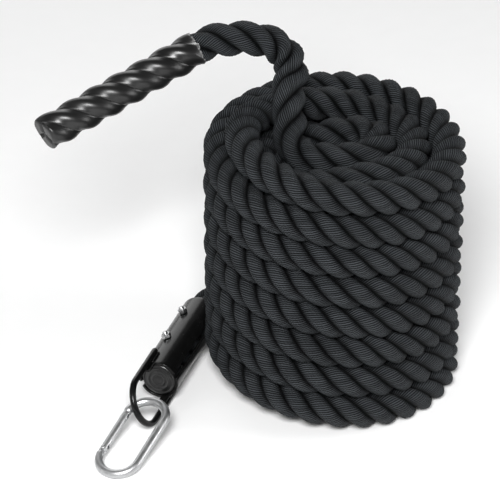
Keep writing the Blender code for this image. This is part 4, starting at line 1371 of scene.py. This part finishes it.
    def pin(self, name: str, y: float, headed: bool) -> Mesh:
        """A pin through the gate's ears at y: riveted heads where it is headed, else flush chamfered ends."""
        ear = self.gate_radius
        if headed:
            bend = np.radians([80.0, 60.0, 40.0, 20.0, 0.0])
            head, rise = self.rivet_head, self.rivet_dome
            dome = [(head * math.cos(b), SEAT_GAP + ear + rise * math.sin(b)) for b in bend]
            side = [(r, -h) for r, h in dome] + [(self.rivet_radius, -ear - SEAT_GAP)]
        else:
            chamfer = 0.0003
            side = [(self.rivet_radius - chamfer, -ear), (self.rivet_radius, -ear + chamfer)]
        mesh = turned_piece(name, side + [(r, -h) for r, h in reversed(side)], 36)
        return shifted(mesh, self.matrix() @ Matrix.Translation((self.half_width, y, 0)))

    def build(self) -> None:
        """Adds the hook, its gate and its pins, and dresses the spring and the plunger."""
        zinc = self.zinc.build()
        add_piece(self.body(), zinc, Body.HOOK, ("hook_body",))
        add_piece(self.gate(), zinc, Body.GATE, ("hook_gate",))
        add_piece(self.pin("hinge_rivet", self.hinge, True), zinc, Body.HOOK, ("gate_rivet",))
        add_piece(self.pin("latch_pin", -self.hinge, False), zinc, Body.GATE, ("gate_latch_pin",))
        dress("gate_plunger", zinc)
        dress("gate_spring", self.spring.build())


@dataclass(frozen=True)
class Rope:
    """The one long rope, and the short stretch of it that the clamp holds."""

    route: RopeRoute = RopeRoute()
    strands: Strands = Strands()
    finish: YarnFinish = YarnFinish()
    near_step: float = 0.0042
    far_step: float = 0.0095
    hidden_turns: tuple[float, float] = (9.3, 20.5)
    start_in_clamp: float = 0.130
    # Distances over which the squeezed rope widens: from the line's start, and before the sleeve's mouth
    widens: tuple[float, float] = (0.07, 0.13)
    narrows: tuple[float, float] = (0.02, 0.003)

    def build(self, clamp: Clamp, grip: GripSleeve) -> None:
        line, travelled = self.route.build(clamp.matrix(), clamp.shell_length, self.start_in_clamp, grip)
        along = lengths_along(line)
        low, high = self.hidden_turns
        hidden = (travelled > low) & (travelled < high)
        step = np.where(hidden, self.far_step, self.near_step)
        rings = np.concatenate([[0.0], np.cumsum(np.diff(along) / step[1:])])
        where = np.interp(np.linspace(0, rings[-1], math.ceil(rings[-1]) + 1), rings, along)
        centres = resampled(line, where)
        coiled = (travelled > 0) & (travelled < self.route.end_turn)
        turned = self.strands.turned(where, np.interp(where, along, coiled.astype(float)))
        mouth = np.array(grip.mouth) + np.array(COIL_PLACE)
        at_mouth = where[np.linalg.norm(centres - mouth, axis=1).argmin()]
        places = [*self.widens, *(at_mouth - before for before in self.narrows)]
        size = np.interp(where, places, [CLAMPED_SIZE, 1.0, 1.0, SLEEVED_SIZE])
        material = self.finish.build()
        mesh = self.strands.skin("rope", Path.level(centres), where, turned, 0.0002, size)
        rope = add_piece(mesh, material, Body.ROPE, (
            "rope_coil", "rope_tail", "rope_free_end", "rope_end_in_grip",
        ))
        held = clamp.held_stretch(self.strands, float(turned[0]), self.start_in_clamp)
        add_piece(held, material, Body.ROPE, ("rope_end_in_clamp",))
        sleeve = grip.build(np.stack([where - at_mouth, turned]))
        moved(np.array([[0.0, clamp.shell_length, 0.0]]), clamp.matrix())[0].tolist()


@dataclass(frozen=True)
class SoftLight:
    """One large soft lamp."""

    name: str
    place: tuple[float, float, float]
    size: float
    watts: float
    target: tuple[float, float, float] = (0.0, 0.0, 0.17)

    def build(self) -> None:
        """Adds the lamp, turned to its target."""
        data = bpy.data.lights.new(self.name, "AREA")
        data.shape, data.size, data.energy = "DISK", self.size, self.watts
        lamp = bpy.data.objects.new(self.name, data)
        lamp.location = self.place
        aim = Vector(self.target) - Vector(self.place)
        lamp.rotation_euler = aim.to_track_quat("-Z", "Y").to_euler()
        bpy.context.collection.objects.link(lamp)


@dataclass(frozen=True)
class Studio:
    """Pale floor, soft light and the camera at the photograph's place."""

    target: tuple[float, float, float] = (-0.0019, 0.0377, 0.157)
    elevation_deg: float = 31.5
    distance: float = 3.5
    focal_pixels: float = 3064.8
    frame_pixels: float = 500.0
    floor_level: float = 0.93
    sky_top: float = 0.08
    sky_side: float = 0.30
    lights: tuple[SoftLight, ...] = (
        SoftLight("key", (-0.2, -2.4, 2.3), 1.1, 132.0),
        SoftLight("right", (2.5, -0.1, 1.2), 1.3, 24.0),
        SoftLight("left", (-2.6, -0.6, 1.0), 1.2, 6.0),
        SoftLight("backdrop", (-1.0, 3.2, 1.8), 3.0, 44.0),
    )

    def camera(self) -> None:
        """Adds the camera; its lens is sensor width * focal pixels / frame pixels."""
        data = bpy.data.cameras.new("camera")
        data.sensor_width = 36.0
        data.lens = data.sensor_width * self.focal_pixels / self.frame_pixels
        data.clip_end = 50.0
        rise = math.radians(self.elevation_deg)
        back = Vector((0.0, -math.cos(rise), math.sin(rise))) * self.distance
        camera = bpy.data.objects.new("camera", data)
        camera.location = Vector(self.target) + back
        camera.rotation_euler = (-back).to_track_quat("-Z", "Y").to_euler()
        bpy.context.collection.objects.link(camera)
        bpy.context.scene.camera = camera

    def floor(self) -> None:
        """Adds the floor, a wide plain sheet with a faint grain."""
        corners = np.array([[-6.0, -6.0, 0.0], [6.0, -6.0, 0.0], [6.0, 6.0, 0.0], [-6.0, 6.0, 0.0]])
        mesh = mesh_of("studio_floor", corners, [np.array([[0, 1, 2, 3]])])
        shader = Shader("pale_floor")
        grain = shader.noise(shader.place(), 30.0, 2.0)
        colour = shader.blend(grain, grey(self.floor_level), grey(self.floor_level * 1.02))
        shader.surface(Base_Color=colour, Roughness=0.9)
        mesh.materials.append(shader.material)
        sheet = bpy.data.objects.new("studio_floor", mesh)
        bpy.context.collection.objects.link(sheet)

    def build(self) -> None:
        """Adds everything and sets the even light of the surroundings."""
        self.camera()
        self.floor()
        for light in self.lights:
            light.build()
        world = bpy.data.worlds.new("studio")
        world.use_nodes = True
        tree = world.node_tree
        background = tree.nodes["Background"]
        background.inputs["Color"].default_value = (1.0, 1.0, 1.0, 1.0)
        direction = tree.nodes.new("ShaderNodeTexCoord").outputs["Generated"]
        parts = tree.nodes.new("ShaderNodeSeparateXYZ")
        tree.links.new(direction, parts.inputs[0])
        falling = tree.nodes.new("ShaderNodeMapRange")
        tree.links.new(parts.outputs["Z"], falling.inputs["Value"])
        falling.inputs["To Min"].default_value = self.sky_side
        falling.inputs["To Max"].default_value = self.sky_top
        tree.links.new(falling.outputs["Result"], background.inputs["Strength"])
        bpy.context.scene.world = world
        bpy.context.scene.view_settings.view_transform = "Standard"


def main() -> None:
    """Builds the studio and the object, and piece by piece."""
    Studio().build()
    clamp, grip = Clamp(), GripSleeve()
    Rope().build(clamp, grip)
    clamp.build()
    SpringHook().build()


if __name__ == "__main__":
    main()
